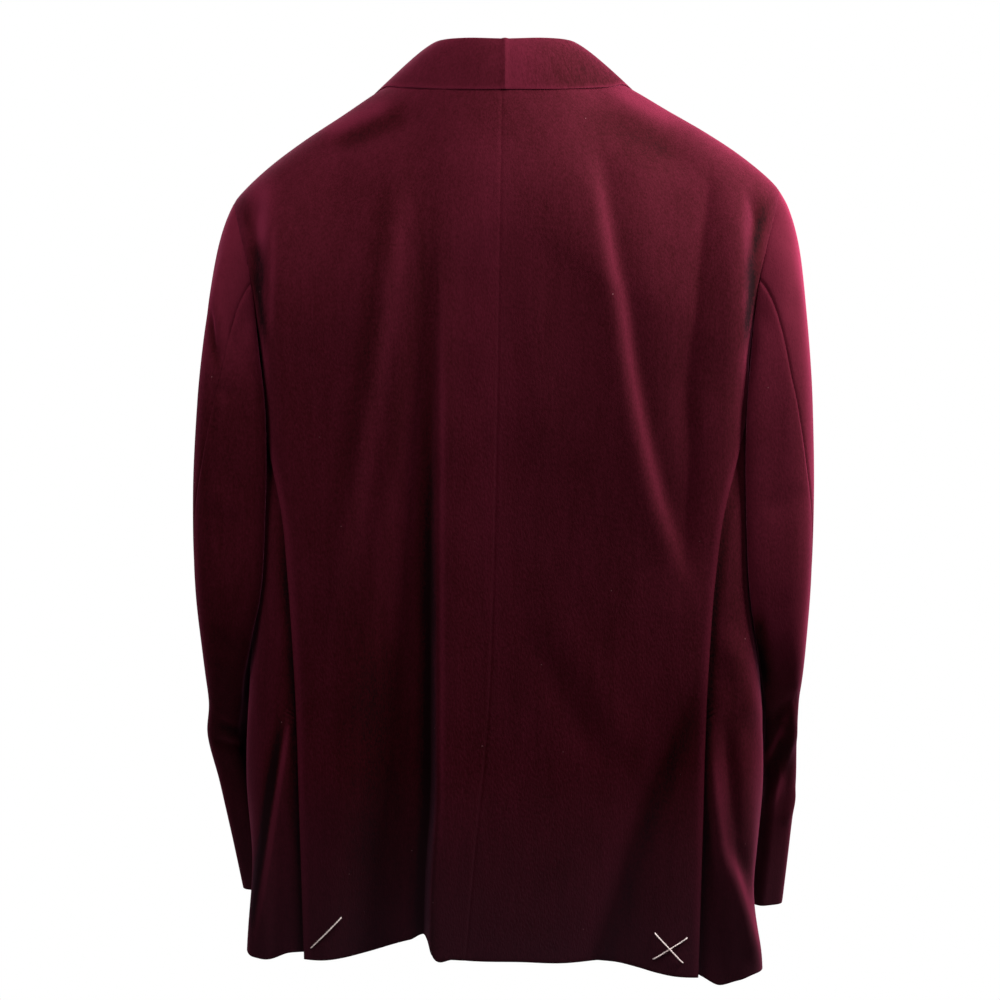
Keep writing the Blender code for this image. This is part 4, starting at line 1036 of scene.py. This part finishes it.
# The front button: a domed metal blank with a disc of the velvet drawn tight over it. It is sewn to the left
# front at the waist, and is the only one that closes the jacket.
BUTTON_Z, BUTTON_RADIUS, BUTTON_HEIGHT, BUTTON_FLAT = -0.415, 0.010, 0.0042, 0.35
BUTTON_RINGS, BUTTON_SIDES, BUTTON_RIM = 14, 48, 0.93  # the cloth is drawn in to this share underneath
seat = front_point(np.array(0.0), np.array(BUTTON_Z), LEFT) + np.array([0, CLOTH / 2 + SEAM_GAP, 0])
button_mesh = bpy.data.meshes.new("covered_button")
rings = np.linspace(0, np.pi / 2, BUTTON_RINGS)[1:, None]
turn = np.arange(BUTTON_SIDES) * 2 * np.pi / BUTTON_SIDES
dome = stacked(BUTTON_RADIUS * np.sin(rings) * np.cos(turn),
               BUTTON_HEIGHT * (BUTTON_FLAT + np.cos(rings)),
               BUTTON_RADIUS * np.sin(rings) * np.sin(turn)).reshape(-1, 3)
rim = dome[-BUTTON_SIDES:] * np.array([BUTTON_RIM, 0, BUTTON_RIM])
crown = np.array([[0, BUTTON_HEIGHT * (1 + BUTTON_FLAT), 0]])
button_points = np.concatenate([dome, rim, crown]) + seat
faces = []
for ring in range(BUTTON_RINGS - 1):
    for k in range(BUTTON_SIDES):
        after = (k + 1) % BUTTON_SIDES
        first = ring * BUTTON_SIDES
        faces.append((first + k, first + after, first + BUTTON_SIDES + after, first + BUTTON_SIDES + k))
for k in range(BUTTON_SIDES):
    faces.append((len(button_points) - 1, (k + 1) % BUTTON_SIDES, k))
faces.append([(BUTTON_RINGS - 1) * BUTTON_SIDES + k for k in range(BUTTON_SIDES)])
button_mesh.from_pydata(button_points.tolist(), [], faces)
button_mesh.shade_smooth()
button_mesh.materials.append(velvet_material("button_velvet", NAP_TONE))
button = placed("covered_button", button_mesh)
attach(button, "root")
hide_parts("front_button")

# The basting: undyed cotton thread, doubled, that tacks the vents shut until the jacket is first worn.
# One slanting stitch on the left vent and a crossed pair on the right, each going in and out of the cloth.
STITCH = "x0 z0 x1 z1 lift"
BASTING = {
    "left": table(STITCH, (-0.1620, -0.7150, -0.1346, -0.6870, 0.0)),
    "right": table(
        STITCH,
        (0.1220, -0.7227, 0.1520, -0.7037, 0.0),
        (0.1240, -0.6997, 0.1480, -0.7257, 0.0010),
    ),
}
STITCH_POINTS, STITCH_ARCH, STITCH_SINK, STITCH_END = 24, 0.0008, 0.0022, 0.06
STRAND, STRAND_APART, STRAND_SIDES, THREAD_TURNS, THREAD_STEPS = 0.00032, 0.00032, 8, 9.0, 90
THREAD_COLOUR, THREAD_SHADE, THREAD_FIBRE, THREAD_ROUGHNESS = (0.66, 0.54, 0.52), 0.7, 2600.0, 0.85


def thread_material():
    """Soft matt cotton with the turns of its twist."""
    material, tree, shader = bare_material("basting_thread")
    nodes, links = tree.nodes, tree.links
    place = nodes.new("ShaderNodeTexCoord")
    fibre = nodes.new("ShaderNodeTexNoise")
    fibre.inputs["Scale"].default_value = THREAD_FIBRE
    links.new(place.outputs["Object"], fibre.inputs["Vector"])
    blend = nodes.new("ShaderNodeValToRGB")
    blend.color_ramp.elements[0].color = (*(THREAD_SHADE * c for c in THREAD_COLOUR), 1)
    blend.color_ramp.elements[1].color = (*THREAD_COLOUR, 1)
    links.new(fibre.outputs["Fac"], blend.inputs["Fac"])
    links.new(blend.outputs["Color"], shader.inputs["Base Color"])
    shader.inputs["Roughness"].default_value = THREAD_ROUGHNESS
    return material


def thread_tree(material):
    """Two strands twisted round a stitch's path."""
    tree = bpy.data.node_groups.new("twisted_thread", "GeometryNodeTree")
    tree.interface.new_socket("Path", in_out="INPUT", socket_type="NodeSocketGeometry")
    for name, value in (("Strand Radius", STRAND), ("Strand Offset", STRAND_APART), ("Turns", THREAD_TURNS)):
        socket = tree.interface.new_socket(name, in_out="INPUT", socket_type="NodeSocketFloat")
        socket.default_value = value
    tree.interface.new_socket("Thread", in_out="OUTPUT", socket_type="NodeSocketGeometry")
    nodes, links = tree.nodes, tree.links
    entry, exit_node = nodes.new("NodeGroupInput"), nodes.new("NodeGroupOutput")
    resample = nodes.new("GeometryNodeResampleCurve")
    resample.inputs["Count"].default_value = THREAD_STEPS
    links.new(entry.outputs["Path"], resample.inputs["Curve"])
    along_path = nodes.new("GeometryNodeSplineParameter")
    turned = maths(tree, "MULTIPLY", along_path.outputs["Factor"], entry.outputs["Turns"])
    radians = maths(tree, "MULTIPLY", turned, 2 * math.pi)
    normal, tangent = nodes.new("GeometryNodeInputNormal"), nodes.new("GeometryNodeInputTangent")
    profile = nodes.new("GeometryNodeCurvePrimitiveCircle")
    profile.inputs["Resolution"].default_value = STRAND_SIDES
    links.new(entry.outputs["Strand Radius"], profile.inputs["Radius"])
    joined = nodes.new("GeometryNodeJoinGeometry")
    for phase in (0.0, math.pi):
        spun = nodes.new("ShaderNodeVectorRotate")
        links.new(normal.outputs["Normal"], spun.inputs["Vector"])
        links.new(tangent.outputs["Tangent"], spun.inputs["Axis"])
        links.new(maths(tree, "ADD", radians, phase), spun.inputs["Angle"])
        scaled = nodes.new("ShaderNodeVectorMath")
        scaled.operation = "SCALE"
        links.new(spun.outputs["Vector"], scaled.inputs[0])
        links.new(entry.outputs["Strand Offset"], scaled.inputs["Scale"])
        moved = nodes.new("GeometryNodeSetPosition")
        links.new(resample.outputs["Curve"], moved.inputs["Geometry"])
        links.new(scaled.outputs["Vector"], moved.inputs["Offset"])
        tube = nodes.new("GeometryNodeCurveToMesh")
        tube.inputs["Fill Caps"].default_value = True
        links.new(moved.outputs["Geometry"], tube.inputs["Curve"])
        links.new(profile.outputs["Curve"], tube.inputs["Profile Curve"])
        links.new(tube.outputs["Mesh"], joined.inputs["Geometry"])
    realized = nodes.new("GeometryNodeRealizeInstances")
    finish = nodes.new("GeometryNodeSetMaterial")
    finish.inputs["Material"].default_value = material
    links.new(joined.outputs["Geometry"], realized.inputs["Geometry"])
    links.new(realized.outputs["Geometry"], finish.inputs["Geometry"])
    links.new(finish.outputs["Geometry"], exit_node.inputs["Thread"])
    return tree


twist = thread_tree(thread_material())
for vent, stitches in BASTING.items():
    path = bpy.data.curves.new(f"basting_path_{vent}", "CURVE")
    path.dimensions = "3D"
    for stitch in stitches:
        t = np.linspace(0, 1, STITCH_POINTS)
        x, z = lerp(stitch.x0, stitch.x1, t), lerp(stitch.z0, stitch.z1, t)
        on_cloth = back_point(x, z)
        above = CLOTH / 2 + STRAND + STITCH_ARCH * np.sin(np.pi * t) + stitch.lift
        on_cloth[:, 1] -= above - STITCH_SINK * (ramp(t, STITCH_END, 0) + ramp(t, 1 - STITCH_END, 1))
        spline = path.splines.new("POLY")
        spline.points.add(STITCH_POINTS - 1)
        for point, place in zip(spline.points, on_cloth):
            point.co = (*place, 1)
    route = placed(f"basting_path_{vent}", path)
    route.modifiers.new("twist", "NODES").node_group = twist
    evaluated = route.evaluated_get(bpy.context.evaluated_depsgraph_get())
    basting_mesh = bpy.data.meshes.new_from_object(evaluated)
    bpy.data.objects.remove(route)
    basting_mesh.name = f"basting_{vent}"
    basting_mesh.shade_smooth()
    basting = placed(f"basting_{vent}", basting_mesh)
    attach(basting, "root")

# The studio: a wide pale floor well below the jacket, and a white surround that shows but gives no light.
# The main soft box is at the upper right, with weaker ones above, on the left and by the camera, one that
# edges the right side, and one beyond the front. The camera is behind the jacket, looking slightly down.
FLOOR_Z, FLOOR_RADIUS, FLOOR_SIDES = -1.45, 1.6, 96
FLOOR_COLOUR, FLOOR_ROUGHNESS = (0.92, 0.92, 0.92), 0.9
bpy.ops.mesh.primitive_circle_add(
    vertices=FLOOR_SIDES, radius=FLOOR_RADIUS, fill_type="NGON", location=(0, 0, FLOOR_Z))
floor = bpy.context.object
floor.name = "studio_floor"
floor_paint, _, paint_shader = bare_material("studio_floor")
paint_shader.inputs["Base Color"].default_value = (*FLOOR_COLOUR, 1)
paint_shader.inputs["Roughness"].default_value = FLOOR_ROUGHNESS
floor.data.materials.append(floor_paint)

SURROUND_SEEN, SURROUND_LIGHT = 1.0, 0.0
world = bpy.data.worlds.new("studio")
world.use_nodes = True
air = world.node_tree
surround = air.nodes["Background"]
surround.inputs["Color"].default_value = (1, 1, 1, 1)
ray = air.nodes.new("ShaderNodeLightPath")
strength = air.nodes.new("ShaderNodeMapRange")
strength.inputs["To Min"].default_value = SURROUND_LIGHT
strength.inputs["To Max"].default_value = SURROUND_SEEN
air.links.new(ray.outputs["Is Camera Ray"], strength.inputs["Value"])
air.links.new(strength.outputs["Result"], surround.inputs["Strength"])
bpy.context.scene.world = world

UPPER_BACK, CHEST = (0.0, -0.05, -0.20), (0.0, 0.0, -0.25)
SOFT_BOXES = table(
    "name place aim size power",
    ("above", (0.10, -0.36, 0.55), UPPER_BACK, 0.35, 8.0),
    ("right", (0.90, -0.22, 0.28), UPPER_BACK, 0.30, 41.0),
    ("left", (-0.60, -0.50, 0.30), UPPER_BACK, 0.35, 5.5),
    ("low_left", (-0.70, -0.50, -0.02), UPPER_BACK, 0.35, 3.2),
    ("camera_side", (0.30, -0.90, 0.60), UPPER_BACK, 0.35, 8.0),
    ("rim", (0.60, 0.10, 0.45), UPPER_BACK, 0.35, 8.0),
    ("front", (-0.5, 1.9, 0.9), CHEST, 1.2, 24.0),
)
for box in SOFT_BOXES:
    lamp = bpy.data.lights.new(box.name, "AREA")
    lamp.size = box.size
    lamp.energy = box.power
    light = placed(box.name, lamp)
    light.location = box.place
    light.rotation_euler = (Vector(box.aim) - Vector(box.place)).to_track_quat("-Z", "Y").to_euler()

CAMERA_PLACE, CAMERA_DROP = (-0.004, -2.3, -0.10), 0.25
METRES_PER_PIXEL, PICTURE, SENSOR = 0.00085, 1000, 36.0
camera_data = bpy.data.cameras.new("camera")
camera_data.sensor_width = SENSOR
camera_data.lens = math.hypot(CAMERA_PLACE[1], CAMERA_DROP) / (METRES_PER_PIXEL * PICTURE) * SENSOR
camera = placed("camera", camera_data)
camera.location = CAMERA_PLACE
camera.rotation_euler = (math.pi / 2 - math.atan2(CAMERA_DROP, -CAMERA_PLACE[1]), 0, 0)
bpy.context.scene.camera = camera
bpy.context.scene.view_settings.view_transform = "Standard"
